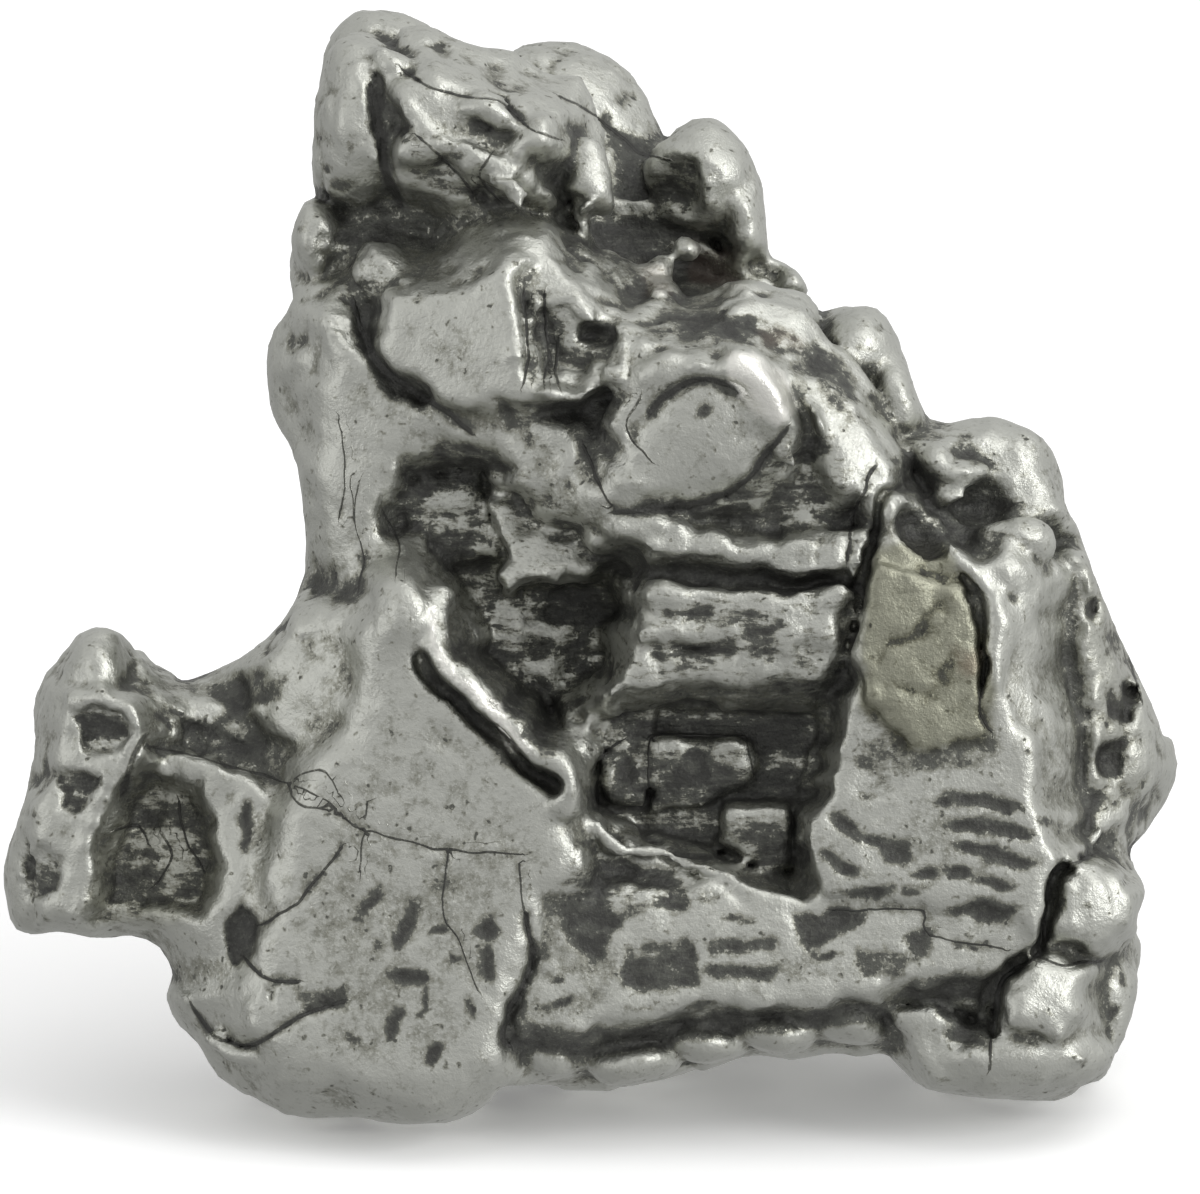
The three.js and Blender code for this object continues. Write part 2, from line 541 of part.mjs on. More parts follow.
// each kind of form: how far a place is from its surface, negative inside it
const slabDistance = (form, right, down, out) => {
  const side = form.side ?? 1;
  const [tiltRight, tiltDown] = form.tilt;
  const [middleRight, middleDown] = form.middle;
  const plane = form.out + tiltRight * (right - middleRight) + tiltDown * (down - middleDown);
  const level = (out * side - plane) / Math.hypot(1, tiltRight, tiltDown);
  const flat = outlineDistance(form.outline, right, down);
  const wall = (flat + form.draft * level) / Math.hypot(1, form.draft);
  return Math.max(smoothMax(wall, level, form.edge), -level - slabDepth);
};

const hollowDistance = (form, right, down, out) => {
  const side = form.side ?? 1;
  const [tiltRight, tiltDown] = form.tilt;
  const [middleRight, middleDown] = form.middle;
  const plane = form.out + tiltRight * (right - middleRight) + tiltDown * (down - middleDown);
  const level = (out * side - plane) / Math.hypot(1, tiltRight, tiltDown);
  const flat = outlineDistance(form.outline, right, down);
  const wall = (flat - form.draft * (out * side - form.rim)) / Math.hypot(1, form.draft);
  return smoothMax(wall, -level, form.blend);
};

const lumpDistance = (form, right, down, out) => {
  const spin = THREE.MathUtils.degToRad(form.spin ?? 0);
  const offRight = right - form.at[0];
  const offDown = down - form.at[1];
  const offOut = out - form.at[2];
  const across = offRight * Math.cos(spin) + offDown * Math.sin(spin);
  const along = offDown * Math.cos(spin) - offRight * Math.sin(spin);
  const [halfAcross, halfAlong, halfOut] = form.half;
  const near = Math.hypot(across / halfAcross, along / halfAlong, offOut / halfOut);
  const slope = Math.hypot(across / halfAcross ** 2, along / halfAlong ** 2, offOut / halfOut ** 2);
  return (near * (near - 1)) / Math.max(slope, 1e-6);
};

const grooveDistance = (form, right, down, out) => {
  const level = out - form.floor;
  const wall = pathDistance(form.path, [right, down]) - form.width - form.draft * Math.max(level, 0);
  return smoothMax(wall, -level, form.blend);
};

const kinds = {
  slab: { distance: slabDistance, adds: true },
  lump: { distance: lumpDistance, adds: true },
  rib: {
    distance: (form, ...place) => pathDistance(form.path, place) - form.radius,
    adds: true,
  },
  hollow: { distance: hollowDistance, adds: false },
  pit: { distance: lumpDistance, adds: false },
  groove: { distance: grooveDistance, adds: false },
};

// where a form reaches, seen from the front, so that the others are passed over
const readied = forms.map((form) => {
  const points = form.outline ?? form.path ?? [form.at];
  const rights = points.map((point) => point[0]);
  const downs = points.map((point) => point[1]);
  const size = Math.max(...(form.half ?? [0]), form.radius ?? 0, form.width ?? 0);
  const slope = (form.draft ?? 0) * slabDepth;
  const reach = size + slope + form.blend + 1.2;
  const middle = [
    rights.reduce((sum, value) => sum + value, 0) / rights.length,
    downs.reduce((sum, value) => sum + value, 0) / downs.length,
  ];
  return {
    ...form,
    middle,
    low: [Math.min(...rights) - reach, Math.min(...downs) - reach],
    high: [Math.max(...rights) + reach, Math.max(...downs) + reach],
  };
});

const edgeCurve = curveThrough(edgeLine, crispness);
const plainMass = new Map();

// the outline distance and the middle depth are the same all the way through the thickness
const massAt = (right, down) => {
  const key = `${right.toFixed(4)},${down.toFixed(4)}`;
  if (plainMass.has(key)) return plainMass.get(key);
  let total = 0;
  let depth = 0;
  let thickness = 0;
  for (const [anchorRight, anchorDown, anchorOut, share] of midDepths) {
    const squared = (right - anchorRight) ** 2 + (down - anchorDown) ** 2;
    const weight = 1 / (squared + 1.5) ** 1.5;
    total += weight;
    depth += weight * anchorOut;
    thickness += weight * share;
  }
  const mass = {
    flat: outlineDistance(edgeCurve, right, down),
    depth: depth / total,
    thickness: thickness / total,
  };
  plainMass.set(key, mass);
  return mass;
};

const lean = THREE.MathUtils.degToRad(leanBack);

const heightAt = (down, out) => (faceHeight - down) * Math.cos(lean) + out * Math.sin(lean);

// negative inside the fragment
const distanceAt = (right, down, out) => {
  const mass = massAt(right, down);
  const ring = Math.max(bodyRadius + mass.flat, 0);
  let value = Math.hypot(ring, (out - mass.depth) / mass.thickness) - bodyRadius;
  const warpRight = 0.2 * Math.sin(1.3 * down + 1) + 0.1 * Math.sin(2.9 * down - 1.7 * right + 2);
  const warpDown = 0.2 * Math.sin(1.2 * right + 2) + 0.1 * Math.sin(2.7 * right + 1.9 * down + 0.5);
  const atRight = right + warpRight;
  const atDown = down + warpDown;
  for (const form of readied) {
    const beside = atRight < form.low[0] || atRight > form.high[0];
    const beyond = atDown < form.low[1] || atDown > form.high[1];
    if (beside || beyond) continue;
    const kind = kinds[form.kind];
    const distance = kind.distance(form, atRight, atDown, out);
    if (kind.adds) value = smoothMin(value, distance, form.blend);
    else value = smoothMax(value, -distance, form.blend);
  }
  value = smoothMax(value, mass.flat, 0.5);
  return Math.max(value, restLevel - heightAt(down, out));
};

// values at all corners of the cells
const across = count.right + 1;
const along = count.down + 1;
const through = count.out + 1;
const cornerIndex = (i, j, k) => (i * along + j) * through + k;
const placeOf = (i, j, k) => [
  corner.right + i * cell.right,
  corner.down + j * cell.down,
  corner.out + k * cell.out,
];
const values = new Float64Array(across * along * through);
for (let i = 0; i < across; i += 1) {
  for (let j = 0; j < along; j += 1) {
    for (let k = 0; k < through; k += 1) {
      values[cornerIndex(i, j, k)] = distanceAt(...placeOf(i, j, k));
    }
  }
}

// every value is evened out a little with the six beside it, because thin edges fall between the corners
const neighbourSteps = [along * through, -along * through, through, -through, 1, -1];
const sharp = Float64Array.from(values);
values.forEach((value, index) => {
  const beside = neighbourSteps.map((step) => sharp[index + step] ?? value);
  const average = beside.reduce((sum, part) => sum + part, 0) / beside.length;
  values[index] = value * (1 - evening) + average * evening;
});

// only the largest body is kept, and only the open air round it: no crumbs and no sealed bubbles
const keepLargest = (belongs, otherwise) => {
  const regionOf = new Int32Array(values.length);
  const sizes = [0];
  for (let start = 0; start < values.length; start += 1) {
    if (!belongs(values[start]) || regionOf[start] > 0) continue;
    const region = sizes.length;
    const waiting = [start];
    regionOf[start] = region;
    sizes.push(0);
    while (waiting.length > 0) {
      const index = waiting.pop();
      sizes[region] += 1;
      for (const step of neighbourSteps) {
        const beside = index + step;
        if (belongs(values[beside]) && regionOf[beside] === 0) {
          regionOf[beside] = region;
          waiting.push(beside);
        }
      }
    }
  }
  const largest = sizes.indexOf(Math.max(...sizes));
  values.forEach((value, index) => {
    if (belongs(value) && regionOf[index] !== largest) values[index] = otherwise;
  });
};

keepLargest((value) => value < 0, fillDepth);
keepLargest((value) => value >= 0, -fillDepth);

const cellCorners = [0, 1, 2, 3, 4, 5, 6, 7].map((n) => [n & 1, (n >> 1) & 1, (n >> 2) & 1]);
const cellEdges = [];
for (let a = 0; a < 8; a += 1) {
  for (const bit of [1, 2, 4]) {
    if (!(a & bit)) cellEdges.push([a, a | bit]);
  }
}
const cellFaces = [];
for (const bit of [1, 2, 4]) {
  const [first, second] = [1, 2, 4].filter((other) => other !== bit);
  for (const base of [0, bit]) cellFaces.push([base, base | first, base | first | second, base | second]);
}

// true when the marked corners of a cell hang together along its edges
const connected = (marks) => {
  const start = marks.indexOf(true);
  if (start < 0) return true;
  const reached = new Set([start]);
  let grown = true;
  while (grown) {
    grown = false;
    for (const [a, b] of cellEdges) {
      if (marks[a] && marks[b] && reached.has(a) !== reached.has(b)) {
        reached.add(a);
        reached.add(b);
        grown = true;
      }
    }
  }
  return reached.size === marks.filter(Boolean).length;
};

// fills a corner wherever a cell would hold two separate sheets of surface
const fillPinches = () => {
  let changed = false;
  for (let i = 0; i < count.right; i += 1) {
    for (let j = 0; j < count.down; j += 1) {
      for (let k = 0; k < count.out; k += 1) {
        const indices = cellCorners.map(([a, b, c]) => cornerIndex(i + a, j + b, k + c));
        const inside = indices.map((index) => values[index] < 0);
        const crossed = cellFaces.some(([a, b, c, d]) => {
          const twin = inside[a] === inside[c] && inside[b] === inside[d];
          return twin && inside[a] !== inside[b];
        });
        if (!crossed && connected(inside) && connected(inside.map((mark) => !mark))) continue;
        const empty = indices.filter((index, n) => !inside[n]);
        const nearest = empty.reduce((best, index) => (values[index] < values[best] ? index : best));
        values[nearest] = -fillDepth;
        changed = true;
      }
    }
  }
  return changed;
};

while (fillPinches());

// one point in every cell that the surface passes through
const slopeStep = 0.02;
const pullReach = 0.2; // how far a point may be drawn to the true surface
const cellInset = 0.05; // how near it may come to the side of its cell
const surfacePoints = [];
const pointOfCell = new Map();
const cellIndex = (i, j, k) => (i * count.down + j) * count.out + k;

const pullToSurface = (start, low, high) => {
  let point = start;
  for (let pass = 0; pass < 2; pass += 1) {
    const value = distanceAt(...point);
    const slope = point.map((_, axis) => {
      const ahead = [...point];
      ahead[axis] += slopeStep;
      return (distanceAt(...ahead) - value) / slopeStep;
    });
    const steepness = Math.max(slope.reduce((sum, part) => sum + part * part, 0), 0.1);
    const step = value / steepness;
    point = point.map((part, axis) => {
      const moved = part - step * slope[axis];
      return Math.min(Math.max(moved, low[axis]), high[axis]);
    });
  }
  return point;
};

for (let i = 0; i < count.right; i += 1) {
  for (let j = 0; j < count.down; j += 1) {
    for (let k = 0; k < count.out; k += 1) {
      const sums = [0, 0, 0];
      let crossings = 0;
      for (const [a, b] of cellEdges) {
        const [fromSteps, toSteps] = [cellCorners[a], cellCorners[b]];
        const fromValue = values[cornerIndex(i + fromSteps[0], j + fromSteps[1], k + fromSteps[2])];
        const toValue = values[cornerIndex(i + toSteps[0], j + toSteps[1], k + toSteps[2])];
        if (fromValue < 0 === toValue < 0) continue;
        const share = fromValue / (fromValue - toValue);
        const from = placeOf(i + fromSteps[0], j + fromSteps[1], k + fromSteps[2]);
        const to = placeOf(i + toSteps[0], j + toSteps[1], k + toSteps[2]);
        from.forEach((part, axis) => {
          sums[axis] += part + (to[axis] - part) * share;
        });
        crossings += 1;
      }
      if (crossings === 0) continue;
      const average = sums.map((sum) => sum / crossings);
      const lowest = placeOf(i, j, k);
      const highest = placeOf(i + 1, j + 1, k + 1);
      const low = average.map((part, axis) => Math.max(part - pullReach, lowest[axis] + cellInset));
      const high = average.map((part, axis) => Math.min(part + pullReach, highest[axis] - cellInset));
      pointOfCell.set(cellIndex(i, j, k), surfacePoints.length);
      surfacePoints.push(pullToSurface(average, low, high));
    }
  }
}

// four cells meet at every grid edge that the surface crosses
const triangles = [];
const addSheet = (cells, flipped) => {
  const ring = cells.map((place) => pointOfCell.get(cellIndex(...place)));
  if (flipped) ring.reverse();
  const [a, b, c, d] = ring;
  const span = (from, to) => {
    const parts = surfacePoints[from].map((part, axis) => part - surfacePoints[to][axis]);
    return Math.hypot(...parts);
  };
  if (span(a, c) < span(b, d)) triangles.push([a, b, c], [a, c, d]);
  else triangles.push([b, c, d], [b, d, a]);
};

for (let i = 1; i < count.right; i += 1) {
  for (let j = 1; j < count.down; j += 1) {
    for (let k = 1; k < count.out; k += 1) {
      const here = values[cornerIndex(i, j, k)] < 0;
      if (here !== values[cornerIndex(i + 1, j, k)] < 0) {
        addSheet([[i, j - 1, k - 1], [i, j, k - 1], [i, j, k], [i, j - 1, k]], !here);
      }
      if (here !== values[cornerIndex(i, j + 1, k)] < 0) {
        addSheet([[i - 1, j, k - 1], [i - 1, j, k], [i, j, k], [i, j, k - 1]], !here);
      }
      if (here !== values[cornerIndex(i, j, k + 1)] < 0) {
        addSheet([[i - 1, j - 1, k], [i, j - 1, k], [i, j, k], [i - 1, j, k]], !here);
      }
    }
  }
}

// from the face's own directions to the table: x right, y away from the viewer, z up
const standing = surfacePoints.map(([right, down, out]) => {
  const height = heightAt(down, out) - restLevel;
  const away = (faceHeight - down) * Math.sin(lean) - out * Math.cos(lean);
  return new THREE.Vector3(right, away, height < restSnap ? 0 : height);
});
const bounds = new THREE.Box3().setFromPoints(standing);
const middle = bounds.getCenter(new THREE.Vector3());
standing.forEach((point) => point.sub(new THREE.Vector3(middle.x, middle.y, 0)));

const geometry = new THREE.BufferGeometry();
const flatPlaces = standing.flatMap((point) => point.toArray());
geometry.setAttribute("position", new THREE.Float32BufferAttribute(flatPlaces, 3));
geometry.setIndex(triangles.flatMap(([a, b, c]) => [a, c, b]));
geometry.computeVertexNormals();

const ironNickel = new THREE.MeshStandardMaterial({ color: 0x8d8e8c, metalness: 1, roughness: 0.35 });
const fragment = new THREE.Mesh(geometry, ironNickel);
fragment.name = "fragment";

const part = new THREE.Group();
part.name = "meteorite_fragment";
part.add(fragment);

export default part;
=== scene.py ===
# Weathered fragment of an iron meteorite: tumbled iron-nickel with a near-black patina in its recesses.
# Forms are in millimetres, laid out from the upper left corner of the front face: right, down, out.
import math

import bpy
import numpy as np
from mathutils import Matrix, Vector


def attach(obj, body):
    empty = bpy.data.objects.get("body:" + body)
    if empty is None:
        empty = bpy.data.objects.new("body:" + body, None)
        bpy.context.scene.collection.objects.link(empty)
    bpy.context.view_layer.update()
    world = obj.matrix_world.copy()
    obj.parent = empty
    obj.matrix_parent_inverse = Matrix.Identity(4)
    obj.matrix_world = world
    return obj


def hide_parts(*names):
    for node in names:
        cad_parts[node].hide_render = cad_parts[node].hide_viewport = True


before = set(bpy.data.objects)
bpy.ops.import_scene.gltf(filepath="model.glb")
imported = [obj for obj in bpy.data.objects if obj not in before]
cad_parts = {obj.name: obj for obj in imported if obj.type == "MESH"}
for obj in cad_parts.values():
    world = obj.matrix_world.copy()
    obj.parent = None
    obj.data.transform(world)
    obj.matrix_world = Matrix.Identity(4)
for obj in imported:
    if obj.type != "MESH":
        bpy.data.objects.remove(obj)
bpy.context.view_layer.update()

layout = {
    "faceHeight": 33.6,      # from the top of the face down to the level of the lowest point
    "leanBack": 15.0,        # degrees the face leans back when the fragment rests
    "restLevel": 0.65,       # height worn flat where it rests
    "middleRight": 17.727,   # middle of the box, which stands over the origin
    "middleAway": 4.709,
}
lean = math.radians(layout["leanBack"])

mass = {
    "radius": 6.0,           # half the thickness of the plain mass
    "flankDepth": 3.5,       # a slab grows wider down to this depth only
    "slabDepth": 4.0,        # how far a slab goes into the mass behind it
    "cell": 0.18,   # spacing of the measured points
    "low": (-0.75, -0.75, -12.6),
    "high": (36.3, 34.4, 9.6),
    "behindAll": -14.0,      # out values behind and before everything
    "beforeAll": 12.0,
    "crisp": 0.5,            # share of each form's rounding that stays
    "torn": 0.3,             # how far fine noise moves the edges of slabs, hollows and grooves
    "tornSize": 0.8,
    "triangles": 192000,
    "backFrom": -1.0,        # behind the middle of the thickness, where the back begins
    "backKept": 0.35,        # share of its triangles that the back keeps
    "seed": 11,
}

edgeLine = [   # the face's outline, clockwise: right, down
    (11.2, 0.15), (10.4, 0.4), (9.65, 1.5), (9.3, 4.95), (9.4, 5.85), (9, 6.3), (8.6, 7.9),
    (8.85, 9), (8.1, 10.4), (8.2, 12.3), (9, 14), (9.2, 17.25), (7.95, 19.3), (5.7, 20.45),
    (5.1, 20.2), (4.5, 19.9), (3.65, 18.95), (2.4, 18.95), (1.15, 20.85), (1.15, 22.4), (0.85, 24),
    (0.2, 26), (0.4, 27.6), (0.9, 27.95), (1.8, 27.85), (3, 28.05), (4.45, 28.15), (5.25, 29.15),
    (5, 29.85), (5.4, 30.65), (6, 31.2), (6.65, 32.25), (8.1, 32.95), (8.55, 33.25), (9.6, 33.4),
    (10.8, 33.35), (12, 33.55), (13.8, 33.4), (14.7, 32.85), (15.15, 32.4), (16.65, 32.4),
    (17.1, 32.6), (19.65, 32.5), (22.35, 31.55), (23.7, 31.65), (24.9, 31.5), (25.8, 31.6),
    (26.55, 31.5), (27.45, 32.35), (28.5, 32.7), (31.65, 32.9), (32.4, 32.45), (33.25, 31.95),
    (34.3, 28.8), (33.95, 27.55), (34.25, 26.7), (33.85, 25.55), (34.5, 24.75), (35.25, 23.4),
    (35.15, 22.35), (34.8, 22.05), (34.5, 21.15), (33, 18), (32.25, 15.9), (31.85, 15.25),
    (31.8, 14.4), (31.2, 13.2), (29.7, 12.55), (27.75, 12.6), (26.7, 9.55), (25.35, 9.1),
    (24.6, 9.25), (23.85, 8.1), (23.1, 7.5), (23, 5.7), (21.75, 3.6), (20.4, 3.65), (19.95, 3.95),
    (19.05, 2.1), (17.55, 1.15), (15.9, 1.15), (14.85, 1.5), (13.65, 1.2), (12.3, 0.35),
]

midDepths = [   # where the middle of the thickness lies: right, down, out, share of the plain thickness
    (12, 2.5, -3, 0.8), (17.5, 2.5, -5.5, 0.8), (21.5, 5.5, -4.5, 0.7), (24, 9, -4.5, 0.8),
    (9.5, 8, -1.5, 0.8), (8.5, 11.5, -3.5, 0.8), (9.5, 16, -1.5, 0.9), (6.5, 21, 1, 0.6),
    (3, 19.5, 1.5, 0.5), (1.5, 26, 2.5, 0.5), (6, 29.5, 2.5, 0.8), (11, 32.5, 2, 0.9),
    (18, 32, 0.5, 1), (25, 31, 0, 1), (30.5, 32.5, -0.6, 0.9), (33.8, 29.5, -1, 0.8),
    (34, 26.5, 2, 0.7), (35, 23, -2, 0.8), (33, 18, -2, 0.9), (31, 13.5, -2, 0.9),
    (27, 10.5, -3, 0.8), (19, 18, -1.5, 1), (13, 25, 0, 1), (26, 23, -1, 1),
]

forms = [   # slabs, lumps and ribs are joined on; hollows, pits and grooves are cut, in this order
    {"name": "lower left face", "kind": "slab", "out": 7.5, "tilt": (0.12, 0.04), "draft": 0.5,
     "edge": 1.3, "blend": 1.3, "torn": 0.15,
     "outline": [(12, 17.6), (12.8, 18), (13.2, 19.8), (15, 22.2), (16.8, 23.6), (17.2, 24.9),
     (17.3, 26.1), (16.2, 26.9), (15.7, 28.8), (15.2, 30.5), (14.6, 31.9), (12.8, 32.7),
     (10.8, 32.5), (8.6, 32), (7.6, 30.6), (8, 28.6), (8.3, 26.5), (8.9, 24.6), (9.4, 23.2),
     (10.4, 22.2), (11, 21), (11.2, 19.2)]},
    {"name": "lower left shelf", "kind": "slab", "out": 5.6, "tilt": (0.45, 0), "draft": 0.4,
     "edge": 0.8, "blend": 0.8,
     "outline": [(7.3, 25.6), (9.6, 26), (10.2, 29.5), (9.5, 31.9), (7.4, 31.7), (6.2, 30.4),
     (6.6, 28.2)]},
    {"name": "upper left strap", "kind": "slab", "out": 5.4, "tilt": (0.32, 0), "draft": 0.7,
     "edge": 0.9, "blend": 1,
     "outline": [(10, 9.9), (11.7, 11.3), (14.1, 12), (16.8, 12.9), (19.2, 14.9), (19.2, 15.9),
     (18, 16.3), (16.4, 15), (15, 13.7), (13.2, 13), (12, 13.6), (11.5, 15), (11, 16.8),
     (10.4, 17.8), (9.9, 15), (9.7, 12.6)]},
    {"name": "pyramid", "kind": "slab", "out": 6.2, "tilt": (0.35, 0.12), "draft": 0.4,
     "edge": 0.5, "blend": 0.5,
     "outline": [(11.7, 10.2), (12, 9), (13.4, 7.9), (14.4, 7.3), (15.5, 8.2), (15.5, 10.5),
     (16.2, 11.8), (15, 12.3), (13.2, 12), (11.9, 10.9)]},
    {"name": "pyramid upper facet", "kind": "slab", "out": 6.6, "tilt": (0.1, 0.55), "draft": 0.25,
     "edge": 0.35, "blend": 0.4,
     "outline": [(14.4, 7.3), (16.2, 7.2), (18, 8.4), (19.8, 9.6), (21.4, 10.4), (19.5, 10.6),
     (18.6, 11.4), (16.4, 12), (15.4, 10.5), (15.4, 8.9)]},
    {"name": "collar", "kind": "rib", "radius": 0.4, "blend": 0.5,
     "path": [(12.6, 7.8, 4), (13.4, 7.2, 4.5), (14.2, 6.5, 4.8), (15, 5.9, 4.9), (15.8, 6.1, 5.1),
     (16.4, 6.8, 5.5), (17, 7.6, 5.9), (19.2, 9.2, 6.7), (21, 10.2, 7.1)]},
    {"name": "nose", "kind": "lump", "at": (21.1, 12.9, 4.8), "half": (3.1, 2.5, 3), "blend": 0.7},
    {"name": "nose front", "kind": "slab", "out": 7.7, "tilt": (0, -0.08), "draft": 0.9,
     "edge": 1.2, "blend": 0.8, "torn": 0,
     "outline": [(19.2, 13.2), (20, 12), (21.1, 11.5), (22.4, 12), (23.2, 12.9), (22.4, 14.2),
     (21, 14.7), (19.2, 15), (18.4, 14.9)]},
    {"name": "nose brow", "kind": "rib", "radius": 0.85, "blend": 0.6,
     "path": [(18.7, 13.5, 6.2), (18.9, 12.4, 6.7), (19.7, 11.5, 7.1), (20.9, 10.95, 7.4),
     (22.1, 11.15, 7.6), (23.1, 11.9, 7.6), (23.7, 13, 7.2)]},
    {"name": "crown of the brow", "kind": "slab", "out": 7.65, "tilt": (-0.4, 0.45), "draft": 0.6,
     "edge": 0.5, "blend": 0.4, "torn": 0,
     "outline": [(21.7, 10.8), (22.5, 10.55), (23.5, 11.3), (23.95, 12.45), (23.4, 12.85),
     (22.5, 12.4), (21.8, 11.6)]},
    {"name": "nose top", "kind": "slab", "out": 6.2, "tilt": (0, 0.8), "draft": 0.6, "edge": 0.6,
     "blend": 0.7,
     "outline": [(19.6, 11.2), (21, 10.3), (22.6, 10.6), (23.6, 11.4), (24.2, 12.4), (22.4, 11.8),
     (21, 11.3), (19.6, 11.9)]},
    {"name": "hollow beside the nose", "kind": "slab", "out": 6, "tilt": (0.1, 0), "draft": 0.4,
     "edge": 0.5, "blend": 0.6,
     "outline": [(17.8, 12.4), (19.6, 12.2), (21, 12.8), (20.8, 14.7), (20.4, 16), (18.9, 14.9)]},
    {"name": "nose blade 1", "kind": "rib", "radius": 0.28, "blend": 0.2,
     "path": [(18.4, 12.8, 6.1), (19.2, 13.6, 6.5), (20, 14.2, 7)]},
    {"name": "nose blade 2", "kind": "rib", "radius": 0.3, "blend": 0.2,
     "path": [(17.9, 13.9, 5.9), (18.9, 14.7, 6.4), (19.8, 15.4, 6.8)]},
    {"name": "ledge under the nose", "kind": "slab", "out": 6.1, "tilt": (0.06, -0.1),
     "draft": 0.3, "edge": 0.4, "blend": 0.5,
     "outline": [(18.7, 15.2), (22.6, 14.7), (24, 13), (26.2, 14.8), (25.8, 16.8), (18.6, 16.8)]},
    {"name": "slanting bar", "kind": "slab", "out": 6.8, "tilt": (-0.35, 0.4), "draft": 0.4,
     "edge": 0.4, "blend": 0.4, "torn": 0.15,
     "outline": [(23.8, 11.2), (24.8, 11.5), (26.8, 14), (26.6, 15), (25.6, 14.9), (24, 12.7)]},
    {"name": "block core", "kind": "slab", "out": 6.3, "tilt": (0, 0), "draft": 0.2, "edge": 0.3,
     "blend": 0.3,
     "outline": [(18.3, 16.6), (25.7, 16.6), (25.1, 20.5), (19.3, 20.9), (18.3, 20.5)]},
    {"name": "block row 1", "kind": "slab", "out": 7.2, "tilt": (-0.03, 0.1), "draft": 0.4,
     "edge": 0.25, "blend": 0.3, "torn": 0.18,
     "outline": [(18.4, 15.7), (20.4, 15.8), (21, 16.2), (26, 16.2), (25.7, 17), (23.4, 17.2),
     (22.8, 16.8), (18.4, 16.7)]},
    {"name": "block row 2", "kind": "slab", "out": 7.3, "tilt": (0, 0.03), "draft": 0.2,
     "edge": 0.25, "blend": 0.3, "torn": 0.18,
     "outline": [(18.4, 17.3), (20.4, 17.7), (25.3, 17.6), (25.1, 19.4), (18.4, 19.4)]},
    {"name": "block row 3", "kind": "slab", "out": 7.1, "tilt": (0, 0), "draft": 0.6, "edge": 0.25,
     "blend": 0.3, "torn": 0.18,
     "outline": [(18.3, 19.5), (25.1, 19.5), (24.6, 20.2), (19.2, 20.5), (18.3, 20.3)]},
    {"name": "bottom slab", "kind": "slab", "out": 7.4, "tilt": (0, 0.04), "draft": 0.6,
     "edge": 0.45, "blend": 0.5,
     "outline": [(16.6, 27), (18, 26.5), (21.6, 26.7), (24, 27.2), (24.9, 26.6), (30, 26.8),
     (31, 28.2), (29.9, 29), (27, 29.2), (26.1, 29.8), (22.2, 29.9), (18, 30.5), (15.8, 30.9),
     (15.7, 30.2), (16.2, 28.8)]},
    {"name": "wedge facet", "kind": "slab", "out": 6.6, "tilt": (0, 0.2), "draft": 0.4,
     "edge": 0.4, "blend": 0.5,
     "outline": [(17, 24.2), (18.6, 25.2), (21.6, 26.1), (24, 27.1), (21, 27.1), (17.8, 26.9),
     (17.2, 25.6)]},
    {"name": "right block", "kind": "slab", "out": 7.5, "tilt": (0, 0.03), "draft": 0.25,
     "edge": 0.5, "blend": 0.4,
     "outline": [(26.2, 15.1), (27.2, 15.2), (28.8, 16.8), (30, 16.8), (30.3, 19.2), (30, 21),
     (31.5, 23.7), (32.2, 25), (31.4, 26), (31, 27.9), (30, 27.2), (24.8, 26.9), (24.3, 25.7),
     (24.9, 23.4), (25.6, 20.7), (25.9, 17.7)]},
    {"name": "cheek", "kind": "slab", "out": 6.4, "tilt": (-0.85, 0), "draft": 0.4, "edge": 0.4,
     "blend": 0.4, "torn": 0.15,
     "outline": [(30, 16.8), (31.9, 17.6), (31.7, 20.4), (32.4, 24.8), (31.5, 24), (30, 21),
     (30.3, 19.2)]},
    {"name": "right rim", "kind": "slab", "out": 3.9, "tilt": (-0.9, 0), "draft": 0.5, "edge": 0.6,
     "blend": 0.7,
     "outline": [(32.2, 17), (32.8, 18.2), (33.9, 21), (34.5, 22.9), (33.7, 24.6), (32.8, 25),
     (32.5, 24), (32.4, 21), (32.2, 19.2)]},
    {"name": "upper right cap", "kind": "lump", "at": (30.4, 14.4, 2), "half": (1.4, 1.7, 2.4),
     "blend": 0.7},
    {"name": "upper right pebble", "kind": "lump", "at": (28.8, 14.2, 4.9),
     "half": (0.9, 0.5, 0.8), "blend": 0.3},
    {"name": "upper right pebble 2", "kind": "lump", "at": (28, 13.8, 4.6),
     "half": (0.5, 0.6, 0.9), "blend": 0.3},
    {"name": "cluster floor", "kind": "slab", "out": 4.8, "tilt": (-0.3, 0.3), "draft": 0.5,
     "edge": 0.4, "blend": 0.4,
     "outline": [(27.6, 13.4), (29.4, 13), (31, 13.6), (31.6, 15.6), (30.4, 16.8), (28.2, 16.2)]},
    {"name": "cluster chip", "kind": "lump", "at": (28.6, 14.9, 5.3), "half": (0.7, 0.32, 0.5),
     "blend": 0.15},
    {"name": "cluster chip 2", "kind": "lump", "at": (30.2, 16.5, 6.2), "half": (0.5, 0.4, 0.5),
     "blend": 0.2},
    {"name": "upper right shelf", "kind": "lump", "at": (30.3, 16.3, 5.4), "half": (1.3, 0.8, 1.2),
     "blend": 0.5},
    {"name": "knob block", "kind": "slab", "out": 6.8, "tilt": (-0.3, 0.1), "draft": 0.2,
     "edge": 1.2, "blend": 0.4,
     "outline": [(31.7, 26.3), (32.5, 25.9), (33.2, 26), (33.9, 26.7), (33.5, 27.5), (32.7, 28.3),
     (31.8, 28.3), (31.5, 27.7)]},
    {"name": "lower knob", "kind": "slab", "out": 7.4, "tilt": (-0.2, 0.25), "draft": 0.25,
     "edge": 1.2, "blend": 0.4,
     "outline": [(30.4, 29.2), (31.2, 28.8), (32.5, 29), (32.3, 30.2), (31.5, 30.9), (30.4, 30.7),
     (30.1, 30)]},
